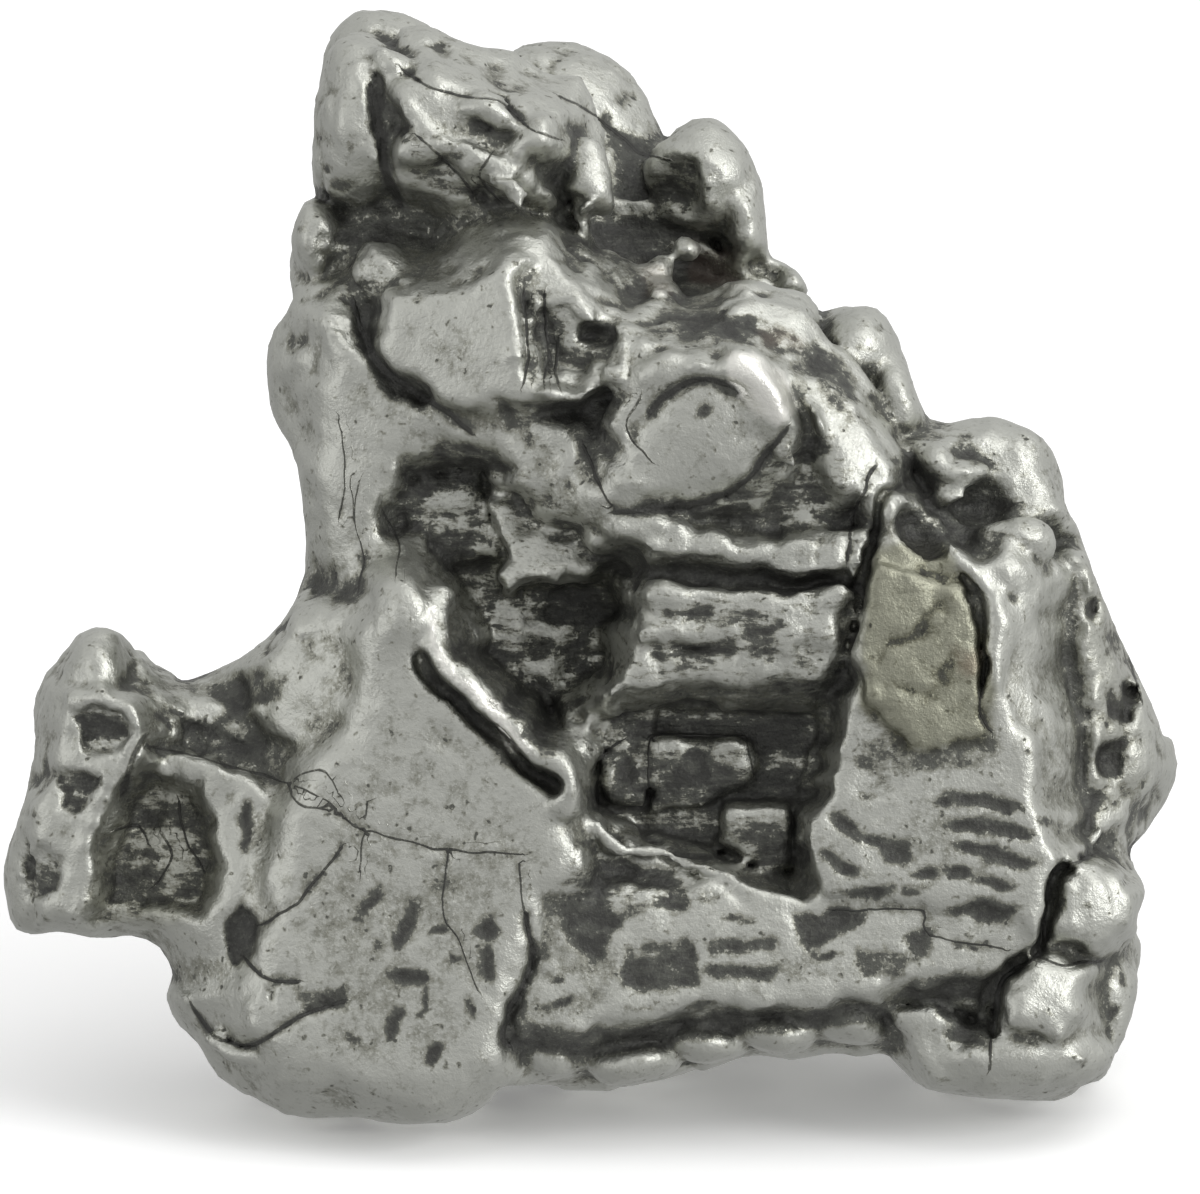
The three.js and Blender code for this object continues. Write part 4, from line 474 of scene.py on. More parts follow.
flakes = [   # patches of the front face: raised or sunk, dark, tan, red, flaky or smooth
    {"name": "lower left face", "smooth": 0.7,
     "outline": [(11.55, 18), (12.75, 18.15), (13.2, 19.95), (15, 22.05), (16.8, 23.4),
     (16.95, 24), (16.65, 24.9), (17.1, 26.1), (16.05, 27), (15.75, 28.8), (15.15, 30.3),
     (14.7, 31.8), (13.2, 33), (10.8, 33), (7.5, 32.4), (6.45, 31.5), (8.7, 30), (7.5, 28.8),
     (6.75, 27.15), (7.5, 25.5), (7.95, 23.7), (9, 22.65), (10.2, 22.05), (10.95, 21)]},
    {"name": "strap", "smooth": 0.5,
     "outline": [(9.9, 9.9), (11.85, 11.55), (14.1, 12.3), (16.8, 13.35), (19.2, 15), (18.3, 16.2),
     (16.2, 14.4), (14.4, 13.2), (12.6, 13.2), (11.55, 14.4), (10.8, 16.8), (9.9, 18), (9.3, 16.8),
     (9.3, 12)]},
    {"name": "cavity", "dark": 0.14, "flaky": 1,
     "outline": [(11.85, 14.4), (12.9, 13.41), (14.4, 13.35), (15.9, 14.34), (18, 15.84),
     (18.42, 16.8), (18.42, 19.2), (18.06, 20.7), (17.25, 21.36), (16.86, 22.65), (15.6, 22.05),
     (13.8, 20.4), (13.35, 19.2), (12.9, 17.7), (12, 16.35)]},
    {"name": "cavity flat", "dark": 0.3, "flaky": 0.35,
     "outline": [(12.3, 14.4), (13.5, 14.1), (14.7, 14.55), (14.7, 16.8), (13.5, 17.1),
     (12.6, 16.2)]},
    {"name": "bright block", "dark": 0, "height": 0.09,
     "outline": [(15.06, 15), (16.2, 15.09), (18, 16.35), (17.16, 17.1), (15.15, 17.76),
     (15.6, 16.8), (15, 16.2)]},
    {"name": "bright chip", "dark": 0, "height": 0.06,
     "outline": [(14.64, 14.34), (15.6, 14.4), (15.9, 14.7), (15, 14.91)]},
    {"name": "wall of the lip", "dark": 0.6, "smooth": 1, "flaky": 0,
     "outline": [(13.38, 18), (14.4, 19.2), (16.44, 22.05), (16.86, 22.74), (16.05, 22.71),
     (14.1, 20.76), (13.26, 19.5), (13.11, 18.15)]},
    {"name": "first plate", "dark": 0.05, "flaky": 0.3,
     "outline": [(18.36, 15.84), (21, 15.66), (24, 16.26), (26.1, 16.44), (25.98, 16.98),
     (23.4, 17.16), (21, 16.89), (18.36, 16.8)]},
    {"name": "gap between plates", "dark": 0.7, "height": -0.12,
     "outline": [(18.36, 16.86), (21, 16.95), (23.4, 17.22), (25.86, 17.4), (25.65, 17.76),
     (23.4, 17.7), (21, 17.52), (18.36, 17.28)]},
    {"name": "plates", "flaky": 1, "dark": 0.32,
     "outline": [(18.36, 17.31), (25.86, 17.76), (25.5, 20.7), (24, 21), (18.36, 20.7)]},
    {"name": "plate piece 1", "dark": 0, "height": 0.072,
     "outline": [(18.42, 17.34), (19.2, 17.46), (21, 17.76), (20.7, 18.3), (19.65, 18.36),
     (20.46, 18.78), (19.2, 19.2), (18.48, 18.96)]},
    {"name": "plate piece 2", "dark": 0.05, "height": 0.084,
     "outline": [(18.42, 20.04), (21, 19.68), (23.7, 19.5), (24.06, 20.1), (21, 20.46),
     (19.2, 20.7), (18.42, 20.58)]},
    {"name": "plate shadow", "dark": 0.45, "flaky": 1,
     "outline": [(21, 18), (25.86, 18), (25.5, 19.35), (22.8, 19.2), (21.15, 18.75)]},
    # painted shade: the down-facing bevel under the plates
    {"name": "painted shade under the plates", "dark": 0.7, "flaky": 0.3,
     "outline": [(18.48, 20.7), (24, 20.4), (25.26, 20.7), (25.05, 21.6), (22.8, 21.66),
     (19.2, 21.48)]},
    {"name": "upper ledge", "dark": 0.45, "flaky": 1,
     "outline": [(18.6, 15.45), (20.7, 15.24), (22.35, 14.7), (23.7, 12.9), (24.9, 13.2),
     (25.95, 14.4), (26.16, 15.9), (25.86, 16.38), (21, 15.66), (18.36, 15.84)]},
    {"name": "torn strip", "dark": 0, "height": 0.084,
     "outline": [(18.36, 15.42), (20.7, 15.3), (20.76, 15.9), (19.5, 15.78), (18.36, 16.14)]},
    {"name": "sliver 1", "dark": 0, "height": 0.072,
     "outline": [(23.04, 14.04), (23.76, 13.98), (24.06, 14.34), (23.28, 14.46)]},
    {"name": "sliver 2", "dark": 0, "height": 0.072,
     "outline": [(22.5, 15), (22.95, 15.15), (22.86, 15.9), (22.56, 15.75)]},
    {"name": "sliver 3", "dark": 0, "height": 0.072,
     "outline": [(23.7, 15.15), (24.9, 15), (25.5, 15.3), (24, 15.48)]},
    {"name": "sliver 4", "dark": 0, "height": 0.06,
     "outline": [(23.4, 13.2), (24.36, 13.35), (24.45, 13.65), (23.64, 13.5)]},
    {"name": "slanting bar", "dark": 0, "smooth": 0.8,
     "outline": [(23.85, 11.16), (24.45, 11.22), (26.7, 14.04), (26.58, 15.15), (25.95, 15.06),
     (24, 12.6)]},
    {"name": "recess", "dark": 0.36, "flaky": 0.8,
     "outline": [(18.06, 21.06), (25.05, 21.06), (24.45, 24), (24.06, 26.46), (21.6, 26.16),
     (18.6, 25.26), (17.46, 24.06), (17.76, 22.2)]},
    {"name": "recess plate", "dark": 0.72, "height": 0.132, "flaky": 0.2,
     "outline": [(19.5, 22.05), (22.35, 22.11), (22.44, 23.1), (21.36, 24.12), (19.5, 24.15)]},
    {"name": "recess square", "dark": 0.7, "height": 0.132, "flaky": 0.2,
     "outline": [(18.15, 22.98), (19.35, 22.98), (19.26, 24), (18.24, 24)]},
    {"name": "curl 1", "dark": 0, "height": 0.21,
     "outline": [(17.82, 20.46), (18.36, 20.58), (18.54, 21.42), (18.18, 21.66)]},
    {"name": "curl 2", "dark": 0, "height": 0.21,
     "outline": [(17.22, 21.78), (17.7, 21.66), (17.76, 22.38), (17.4, 22.44)]},
    {"name": "recess block", "dark": 0.45, "height": 0.09,
     "outline": [(21.66, 24.06), (23.7, 24), (23.58, 25.2), (22.8, 25.56), (21.78, 25.26)]},
    {"name": "step line", "dark": 0, "height": 0.09,
     "outline": [(19.5, 24.18), (21.3, 24.06), (21.36, 24.24), (19.56, 24.36)]},
    {"name": "wedge ridge", "dark": 0, "height": 0.03,
     "outline": [(17.1, 24.15), (18, 24.36), (18.84, 25.08), (21, 25.74), (21.75, 26.4),
     (24.06, 26.91), (24, 27.18), (21, 26.46), (18.6, 25.68), (17.64, 25.14)]},
    {"name": "wedge facet", "dark": 0.55, "flaky": 0.9,
     "outline": [(17.31, 25.08), (18.36, 25.56), (21, 26.43), (21.66, 26.79), (19.5, 27.18),
     (17.46, 27.06), (16.86, 26.4)]},
    {"name": "bottom slab", "smooth": 0.4, "flaky": 0.12,
     "outline": [(16.05, 27.18), (18, 27.09), (21.6, 27), (24, 27.3), (30, 27.15), (30.9, 28.8),
     (30, 29.16), (27, 29.34), (26.4, 29.85), (22.2, 29.94), (18, 30.45), (15.75, 30.75),
     (15.45, 30), (16.05, 28.8)]},
    {"name": "slab patch 1", "dark": 0.85, "height": -0.06, "flaky": 0.4,
     "outline": [(16.8, 27.18), (18, 27), (18.66, 27.45), (18.06, 28.5), (17.16, 28.38)]},
    {"name": "slab patch 2", "dark": 0.9, "height": -0.08, "flaky": 0.4,
     "outline": [(18.66, 28.2), (20.7, 28.05), (21.06, 29.52), (19.5, 29.7), (18.72, 29.4)]},
    {"name": "slab patch 3", "dark": 0.85, "height": -0.048,
     "outline": [(19.44, 26.7), (20.76, 26.64), (20.76, 27.09), (19.65, 27.18)]},
    {"name": "slab patch 4", "dark": 0.85, "height": -0.048,
     "outline": [(21.06, 28.14), (23.25, 27.9), (23.28, 28.32), (21.36, 28.56)]},
    {"name": "slab patch 5", "dark": 0.9, "height": -0.048,
     "outline": [(21.18, 28.86), (23.28, 28.92), (23.1, 29.28), (21.18, 29.22)]},
    {"name": "slab patch 6", "dark": 1, "height": -0.14, "flaky": 0.4,
     "outline": [(23.7, 27.36), (25.86, 27.15), (25.56, 27.78), (24.06, 28.35)]},
    {"name": "slab patch 7", "dark": 0.9, "height": -0.06,
     "outline": [(25.56, 28.35), (27.18, 28.5), (27, 29.25), (25.68, 29.16)]},
    {"name": "slab patch 8", "dark": 0.9, "height": -0.06,
     "outline": [(27, 27.9), (27.96, 27.75), (27.78, 28.65), (27.18, 28.74)]},
    {"name": "slab patch 9", "dark": 0.7, "height": -0.04,
     "outline": [(18.66, 27.15), (19.35, 27.09), (19.2, 27.45), (18.75, 27.54)]},
    # painted shade: the bevel under the bottom slab faces down
    {"name": "painted shade on the slab's underside bevel", "dark": 0.85, "smooth": 0.8,
     "outline": [(15.36, 30.48), (18, 30.78), (22.2, 30.18), (26.4, 30.12), (26.76, 30.36),
     (26.4, 30.66), (22.2, 30.96), (18, 31.56), (15.36, 31.44)]},
    {"name": "hollow over the foot", "dark": 1, "height": -0.1,
     "outline": [(27.15, 29.28), (28.5, 28.98), (30, 29.1), (29.58, 29.85), (27.9, 29.94),
     (27.18, 29.7)]},
    {"name": "tan plate", "tan": 1, "dark": 0, "flaky": 0.1,
     "outline": [(26.04, 16.44), (27.15, 16.2), (28.2, 16.35), (28.86, 17.4), (29.55, 19.2),
     (29.76, 21), (29.4, 22.35), (27, 22.5), (25.74, 21.15), (25.74, 19.2)]},
    # painted shade: a dark band below the raised bottom edge of the tan plate
    {"name": "painted shade below the tan plate", "dark": 0.55,
     "outline": [(26.16, 22.08), (30, 22.08), (30, 22.92), (26.46, 23.16)]},
    {"name": "lower hollow", "dark": 0.45, "flaky": 0.5, "height": -0.06,
     "outline": [(25.2, 21.45), (26.4, 21.06), (27.15, 21.75), (27, 23.7), (25.86, 24),
     (25.14, 23.4)]},
    {"name": "brown stain", "red": 0.25,
     "outline": [(28.5, 19.5), (29.28, 19.5), (29.16, 20.16), (28.65, 20.16)]},
    {"name": "dark corner", "dark": 0.5, "flaky": 0.3,
     "outline": [(26.34, 15.18), (27, 15.18), (28.65, 16.86), (27, 16.86), (26.1, 16.38)]},
    {"name": "right block", "smooth": 0.4,
     "outline": [(27.15, 22.35), (30, 23.1), (32.4, 25.05), (31.5, 26.04), (31.14, 27.15),
     (24.9, 27), (24.54, 25.5), (24.96, 24), (27, 23.85)]},
    {"name": "block patch", "dark": 0.85, "height": -0.06,
     "outline": [(26.25, 25.08), (27.18, 25.14), (27, 25.86), (26.4, 25.8)]},
    {"name": "cheek", "smooth": 0.8, "dark": 0,
     "outline": [(30.06, 16.95), (32.1, 17.76), (31.8, 20.4), (32.46, 24.84), (31.5, 23.94),
     (30.12, 21.6), (29.76, 21), (30.36, 19.2)]},
    {"name": "rim facets", "dark": 0.2, "tan": 0.2, "flaky": 0.5,
     "outline": [(32.28, 16.86), (33, 16.86), (34.2, 20.7), (34.2, 23.4), (33.3, 24.45),
     (32.76, 24.6), (32.4, 21)]},
    {"name": "rim pit 1", "dark": 0.95, "height": -0.39,
     "outline": [(33.54, 20.4), (34.08, 20.55), (33.99, 21.6), (33.6, 21.48)]},
    {"name": "rim pit 2", "dark": 0.9, "height": -0.26,
     "outline": [(32.85, 22.35), (33.66, 22.2), (33.45, 23.4), (32.94, 23.28)]},
    {"name": "rim pit 3", "dark": 0.9, "height": -0.26,
     "outline": [(32.46, 17.76), (32.88, 17.85), (32.82, 18.6), (32.52, 18.54)]},
    {"name": "cheek pit", "dark": 0.6, "height": -0.104,
     "outline": [(30, 17.7), (30.45, 17.7), (30.42, 18.15), (30.06, 18.15)]},
    {"name": "upper right cluster", "dark": 0.35, "flaky": 0.6,
     "outline": [(26.46, 13.26), (31.8, 12.96), (32.1, 15.6), (30, 16.8), (27, 16.2)]},
    {"name": "cluster chip 1", "dark": 0, "height": 0.12,
     "outline": [(27.75, 13.71), (29.25, 13.68), (29.28, 14.34), (27.9, 14.4)]},
    {"name": "cluster chip 2", "dark": 0, "height": 0.12,
     "outline": [(27.96, 14.58), (29.16, 14.52), (29.22, 15), (28.14, 15.06)]},
    {"name": "cluster cap", "dark": 0.15,
     "outline": [(30, 12.96), (31.8, 13.26), (31.98, 15), (30.66, 15.6), (30.06, 14.4)]},
    {"name": "cluster hollow", "dark": 0.5, "height": -0.04,
     "outline": [(28.86, 13.2), (30.3, 13.2), (30.15, 15.6), (28.98, 15.6)]},
    {"name": "left valley", "dark": 0.1, "flaky": 0.5,
     "outline": [(9.45, 5.88), (12, 5.76), (14.1, 6.45), (13.2, 7.5), (11.4, 7.56), (9.9, 7.2)]},
    {"name": "speckled slope", "dark": 0.28, "flaky": 0.7,
     "outline": [(16.8, 6.15), (19.5, 6.15), (21.6, 7.35), (21, 8.94), (19.2, 9.24),
     (17.16, 7.86)]},
    {"name": "slope stain", "red": 0.12, "dark": 0.35,
     "outline": [(20.7, 7.26), (22.2, 7.68), (22.2, 8.64), (20.76, 8.52)]},
    {"name": "bead 1", "dark": 0, "height": 0.12, "red": 0.15,
     "outline": [(19.2, 7.98), (20.1, 7.98), (20.04, 8.82), (19.38, 8.82)]},
    {"name": "bead 2", "dark": 0, "height": 0.12,
     "outline": [(20.1, 7.2), (20.7, 7.23), (20.7, 7.74), (20.19, 7.8)]},
    {"name": "knob cavity", "dark": 0.25, "flaky": 1,
     "outline": [(19.2, 4.86), (20.7, 4.56), (21.6, 5.16), (21.45, 6.75), (20.4, 7.2),
     (19.38, 6.75)]},
    {"name": "pocket", "dark": 0.15, "flaky": 0.8,
     "outline": [(15.6, 9.06), (16.8, 8.88), (18.78, 9.9), (18.72, 11.52), (16.8, 11.82),
     (15.6, 11.4)]},
    {"name": "pocket eye", "dark": 0.5, "height": -0.032,
     "outline": [(17.4, 9.48), (18.6, 9.6), (18.48, 10.44), (17.58, 10.35)]},
    {"name": "pocket lens", "dark": 0.05, "height": 0.15,
     "outline": [(17.7, 10.53), (18.36, 10.59), (18.3, 11.1), (17.79, 11.1)]},
    {"name": "dark triangle", "dark": 0.9, "height": -0.08,
     "outline": [(15.3, 10.86), (16.05, 10.8), (16.08, 11.85)]},
    {"name": "left trench", "dark": 0.5, "height": -0.08,
     "outline": [(10.65, 9.06), (11.4, 9), (11.28, 10.35), (12, 11.52), (12.9, 12), (12.9, 12.6),
     (11.55, 11.88), (10.8, 10.5)]},
    {"name": "lumps below the pyramid", "dark": 0.35, "flaky": 0.7,
     "outline": [(15.3, 11.88), (16.8, 11.88), (16.98, 13.44), (15.9, 13.56)]},
    # painted shade in the gap between the pyramid and the nose
    {"name": "painted shade in the gap beside the nose", "dark": 0.65, "flaky": 0.5,
     "outline": [(16.86, 12.06), (18.6, 11.76), (19.2, 12.06), (18.3, 13.2), (17.46, 13.5)]},
    {"name": "nose tooth 1", "dark": 0, "height": 0.15,
     "outline": [(18, 12.6), (18.54, 12.75), (19.26, 13.65), (18.9, 13.86)]},
    {"name": "nose tooth 2", "dark": 0, "height": 0.15,
     "outline": [(17.7, 13.68), (18.3, 13.86), (19.26, 14.64), (18.84, 14.76)]},
    # painted shade: the dark band in the groove beside the lip
    {"name": "painted shade in the groove of the lip", "dark": 0.8, "smooth": 1,
     "outline": [(12.72, 19.44), (13.08, 19.56), (13.56, 20.22), (14.4, 21.24), (15.18, 22.23),
     (16.08, 22.98), (16.68, 23.28), (16.74, 23.7), (16.2, 23.64), (15.24, 22.98), (14.34, 21.99),
     (13.44, 20.94), (12.84, 20.22)]},
    # dark below nothing: painted highlight along the crown of the lip, given as rubbed-bare metal
    {"name": "crown of the lip", "dark": -0.4, "smooth": 1,
     "outline": [(12.9, 18.12), (13.23, 18.24), (13.23, 19.44), (13.68, 19.98), (14.7, 20.7),
     (16.02, 22.35), (16.02, 22.68), (15.45, 22.5), (14.7, 21.66), (13.92, 20.76), (13.26, 20.16),
     (12.96, 19.65)]},
    # painted shadow: the crescent under the brow of the nose
    {"name": "painted shadow under the brow", "dark": 0.5, "smooth": 1, "height": -0.06,
     "outline": [(19.38, 12.54), (19.59, 11.94), (20.22, 11.49), (21, 11.28), (21.78, 11.31),
     (22.32, 11.76), (22.05, 12.06), (21.42, 11.73), (20.7, 11.79), (20.1, 12.15),
     (19.74, 12.66)]},
    {"name": "edge of the nose", "dark": 0.3, "smooth": 0.6,
     "outline": [(23.7, 10.8), (24.12, 11.16), (24.36, 12.6), (24.42, 13.5), (24.18, 13.38),
     (23.97, 12.3), (23.61, 11.28)]},
    {"name": "shoulder crease", "dark": 0.7, "flaky": 0.3,
     "outline": [(23.82, 9.9), (24.45, 10.35), (25.05, 11.1), (25.5, 12), (25.86, 12.9),
     (25.5, 12.96), (24.84, 12.15), (24.24, 11.1), (23.7, 10.35)]},
    # dark below nothing: painted highlight on the brow of the nose, given as rubbed-bare metal
    {"name": "brow", "dark": -0.4, "smooth": 0.8,
     "outline": [(21.66, 10.68), (22.5, 10.5), (23.46, 11.28), (23.88, 12.42), (23.4, 12.84),
     (22.44, 12.42), (21.81, 11.58)]},
    {"name": "rough ridge", "dark": 0.4, "flaky": 1,
     "outline": [(12, 3.84), (13.2, 4.2), (14.4, 4.95), (15.6, 5.58), (15, 6.06), (13.5, 5.94),
     (12.3, 6), (11.82, 5.1)]},
    {"name": "foot of the left lobe", "dark": 0.5, "flaky": 0.8,
     "outline": [(9.36, 6.72), (10.05, 7.08), (11.34, 6.78), (11.52, 7.5), (10.35, 7.68),
     (9.45, 7.38)]},
    {"name": "nose front", "dark": 0, "smooth": 1, "height": 0.03,
     "outline": [(19.2, 13.2), (19.8, 12.06), (21, 11.64), (22.2, 12.06), (22.95, 12.9),
     (22.2, 14.34), (20.7, 14.7), (19.2, 15), (18.36, 15)]},
    {"name": "top gap 1", "dark": 0.35, "height": -0.08,
     "outline": [(16.59, 3.6), (17.34, 3.9), (17.16, 6), (16.68, 6.3), (16.38, 4.8)]},
    {"name": "top gap 2", "dark": 0.25, "height": -0.04,
     "outline": [(18.42, 3.96), (19.2, 4.56), (19.2, 7.2), (18.06, 7.08), (18.48, 5.7)]},
    {"name": "top spot", "dark": 0.6, "height": -0.06,
     "outline": [(13.95, 3.6), (14.7, 3.48), (14.7, 4.02), (14.16, 4.08)]},
    {"name": "top under", "dark": 0.5, "flaky": 0.7,
     "outline": [(12, 4.5), (13.2, 5.1), (14.1, 5.7), (13.2, 6.15), (12.15, 5.55)]},
    {"name": "left lobe pit", "dark": 0.7, "height": -0.156,
     "outline": [(9.3, 7.2), (9.78, 7.08), (9.78, 7.8), (9.39, 7.86)]},
    {"name": "rough lump", "dark": 0.35, "flaky": 0.7,
     "outline": [(10.65, 7.41), (12.15, 7.38), (12, 8.94), (10.86, 8.85)]},
    {"name": "shoulder notch", "dark": 0.6,
     "outline": [(24.45, 10.56), (25.5, 10.86), (25.56, 12.6), (24.96, 12.48)]},
    {"name": "shoulder hole", "dark": 0.95, "height": -0.1,
     "outline": [(25.65, 10.2), (26.1, 10.26), (26.04, 10.56), (25.71, 10.5)]},
    {"name": "dark sheet", "dark": 0.7, "flaky": 0.4,
     "outline": [(19.8, 9.39), (22.74, 9.48), (22.56, 10.32), (20.46, 10.32)]},
    {"name": "brown edge", "red": 0.12, "dark": 0.3,
     "outline": [(22.65, 9.93), (24, 10.08), (24, 10.5), (22.86, 10.44)]},
    {"name": "saddle bar", "dark": 0.42, "height": -0.08, "flaky": 0.7,
     "outline": [(4.2, 21.06), (6, 21.6), (7.56, 22.35), (7.5, 23.1), (5.7, 22.56), (4.2, 21.9)]},
    {"name": "saddle hollow", "dark": 0.5, "height": -0.08,
     "outline": [(7.05, 20.13), (8.7, 20.19), (8.55, 21), (7.38, 21)]},
    {"name": "saddle slit", "dark": 0.85, "height": -0.08,
     "outline": [(7.29, 24), (7.59, 24), (7.53, 25.5), (7.35, 25.5)]},
    {"name": "spur pit 1", "dark": 0.5, "height": -0.286, "flaky": 0.9,
     "outline": [(2.34, 21.36), (3, 21.06), (3.9, 21.36), (4.2, 21.96), (3.54, 22.5),
     (2.7, 22.56)]},
    {"name": "spur pit 2", "dark": 0.5, "height": -0.286, "flaky": 0.9,
     "outline": [(1.8, 23.16), (2.4, 22.95), (3.12, 23.28), (2.94, 24), (2.46, 24.48),
     (1.98, 24.18)]},
    {"name": "spur pit 3", "dark": 0.4, "height": -0.286, "flaky": 0.9,
     "outline": [(0.9, 25.68), (1.44, 25.38), (1.92, 25.74), (1.86, 26.55), (1.38, 27.06),
     (0.96, 26.76)]},
    {"name": "socket", "dark": -0.1, "tan": 0.35, "smooth": 0.3, "flaky": 0.9,
     "outline": [(4.5, 23.28), (6, 23.52), (6.45, 25.8), (5.88, 27.6), (3.6, 27.75), (2.46, 27.3),
     (3.3, 25.26), (3.9, 23.88)]},
    {"name": "socket foot", "dark": 0.05,
     "outline": [(2.4, 27.24), (3.24, 25.38), (3.84, 24), (4.14, 24.9), (3.54, 26.64),
     (5.7, 26.79), (5.94, 27.66), (3.6, 27.84)]},
    {"name": "lower pit", "dark": 0.8, "height": -0.325, "flaky": 0.3,
     "outline": [(6.78, 27.45), (7.35, 27.15), (7.86, 27.66), (7.65, 28.5), (7.14, 28.8),
     (6.84, 28.2)]},
    {"name": "lower hollow left", "dark": 0.6, "height": -0.048, "flaky": 0.4,
     "outline": [(9, 29.55), (10.5, 29.58), (10.5, 30.12), (9.36, 30.3)]},
    {"name": "foot wedge", "dark": 0.85, "height": -0.06,
     "outline": [(27.96, 30.06), (29.7, 30.45), (29.7, 31.5), (28.56, 31.38)]},
    {"name": "foot flake", "dark": 0, "height": 0.072,
     "outline": [(27.9, 30.9), (28.8, 31.14), (29.55, 31.86), (28.2, 31.68)]},
]

cracks = [
    {"width": 0.09, "depth": 0.077,
     "path": [(4.5, 22.35), (6, 22.65), (7.5, 23.1), (8.7, 23.46), (9.9, 23.94), (10.8, 24.69),
     (13.5, 25.41), (15.6, 25.5)]},
    {"width": 0.09, "depth": 0.055,
     "path": [(8.7, 23.46), (9.3, 23.1), (9.9, 23.1), (10.35, 23.85)]},
    {"width": 0.09, "depth": 0.044,
     "path": [(8.7, 23.46), (9, 24), (9.9, 24.24), (10.65, 24.66)]},
    {"width": 0.075, "depth": 0.044, "path": [(11.1, 24), (10.98, 24.9), (10.86, 26.1)]},
    {"width": 0.075, "depth": 0.055,
     "path": [(13.5, 25.5), (13.35, 27.3), (13.8, 28.05), (14.4, 29.55)]},
    {"width": 0.09, "depth": 0.055, "path": [(15.6, 25.8), (15.72, 27), (15.9, 28.2)]},
    {"width": 0.18, "depth": 0.165,
     "path": [(15.81, 27.3), (15.96, 28.5), (15.75, 29.4), (15.09, 30.75), (15.3, 31.2)]},
    {"width": 0.12, "depth": 0.083,
     "path": [(10.35, 25.35), (9.6, 26.25), (9, 27), (7.95, 27.6)]},
    {"width": 0.12, "depth": 0.11, "path": [(17.55, 13.5), (18, 14.7), (18.45, 15.3)]},
    {"width": 0.09, "depth": 0.066,
     "path": [(24.9, 27.21), (26.4, 27.15), (27.6, 27.24), (27.75, 27.9), (30, 28.35)]},
    {"width": 0.27, "depth": 0.165, "path": [(4.44, 22.05), (4.05, 22.86), (3.78, 23.7)]},
    # its dark stain is painted shadow, the crescent under the brow of the nose
    {"width": 0.27, "depth": 0.132,
     "path": [(19.56, 12.42), (19.92, 11.94), (20.52, 11.61), (21.18, 11.49), (21.84, 11.61),
     (22.2, 11.82)]},
    {"width": 0.12, "depth": 0.138,
     "path": [(12.15, 2.16), (12.9, 2.7), (14.1, 3.03), (15, 3.18), (15.9, 3.9), (16.68, 4.26)]},
    {"width": 0.12, "depth": 0.11, "path": [(16.8, 2.88), (18, 3.6), (19.2, 4.5), (20.04, 4.8)]},
    {"width": 0.12, "depth": 0.138, "path": [(12.6, 4.2), (13.5, 4.95), (14.1, 5.7)]},
    {"width": 0.12, "depth": 0.11, "path": [(14.7, 4.8), (14.4, 5.4), (15, 6)]},
    # its dark stain is painted shade along the underside of the nose
    {"width": 0.24, "depth": 0.165,
     "path": [(18.45, 15.39), (19.8, 15.27), (21, 15.12), (22.05, 14.67), (22.95, 13.65),
     (23.55, 12.9)]},
    {"width": 0.12, "depth": 0.11, "path": [(29.46, 19.8), (29.28, 21), (29.52, 21.9)]},
    {"width": 0.15, "depth": 0.165,
     "path": [(32.55, 25.65), (31.5, 26.1), (31.2, 27.15), (31.05, 28.5), (30, 29.19),
     (29.7, 30.54), (29.55, 31.86)]},
    {"width": 0.12, "depth": 0.11, "path": [(31.05, 28.71), (31.95, 28.86), (32.85, 28.71)]},
    {"width": 0.15, "depth": 0.083, "path": [(7.5, 28.74), (8.1, 29.22), (9, 29.34)]},
    {"width": 0.18, "depth": 0.138,
     "path": [(5.85, 30), (6.6, 31.05), (7.8, 31.2), (9, 30.36), (10.35, 29.94)]},
    {"width": 0.21, "depth": 0.11,
     "path": [(10.65, 9.06), (10.95, 10.05), (11.55, 11.16), (12.9, 12.06), (14.1, 12.96)]},
    # its dark stain is painted shade along the boundary between the left face and the lump of the top
    {"width": 0.42, "depth": 0.193,
     "path": [(11.16, 2.76), (11.4, 3.9), (11.55, 5.1), (12, 6.06)]},
    {"width": 0.075, "depth": 0.044, "path": [(10.2, 12.6), (10.44, 14.1), (10.2, 15.6)]},
    {"width": 0.075, "depth": 0.055,
     "path": [(10.8, 14.4), (10.68, 15.6), (10.98, 16.68), (10.8, 17.7)]},
    {"width": 0.09, "depth": 0.066, "path": [(11.55, 15.45), (12, 16.35), (11.94, 17.25)]},
    {"width": 0.09, "depth": 0.055, "path": [(19.2, 12), (18.75, 12.9), (19.5, 13.86)]},
    {"width": 0.12, "depth": 0.11, "path": [(15.75, 9), (15.84, 10.5), (15.72, 11.64)]},
    {"width": 0.12, "depth": 0.11, "path": [(16.35, 9), (16.44, 10.5), (16.35, 11.55)]},
    {"width": 0.15, "depth": 0.165, "path": [(26.1, 14.1), (25.5, 15.6), (25.38, 16.8)]},
    {"width": 0.12, "depth": 0.11, "path": [(16.8, 10.2), (16.65, 11.1), (16.8, 11.7)]},
    {"width": 0.09, "depth": 0.066, "path": [(4.95, 24.9), (5.25, 25.65), (4.8, 26.4)]},
    {"width": 0.09, "depth": 0.066, "path": [(5.4, 24), (5.7, 25.2), (6.15, 26.1)]},
    {"width": 0.12, "depth": 0.066, "path": [(3.6, 24.9), (4.2, 24.75), (4.5, 25.2)]},
    {"width": 0.12, "depth": 0.083, "path": [(33, 16.8), (33.6, 18.6), (34.2, 21)]},
    {"width": 0.12, "depth": 0.11, "path": [(18.6, 22.2), (18, 22.8), (17.94, 24)]},
    {"width": 0.09, "depth": 0.11, "path": [(19.5, 22.05), (19.44, 23.1), (19.5, 24.15)]},
    {"width": 0.09, "depth": 0.083, "path": [(22.35, 22.05), (22.5, 23.1)]},
    {"width": 0.09, "depth": 0.083, "path": [(19.5, 22.05), (21, 21.99), (22.35, 22.08)]},
]

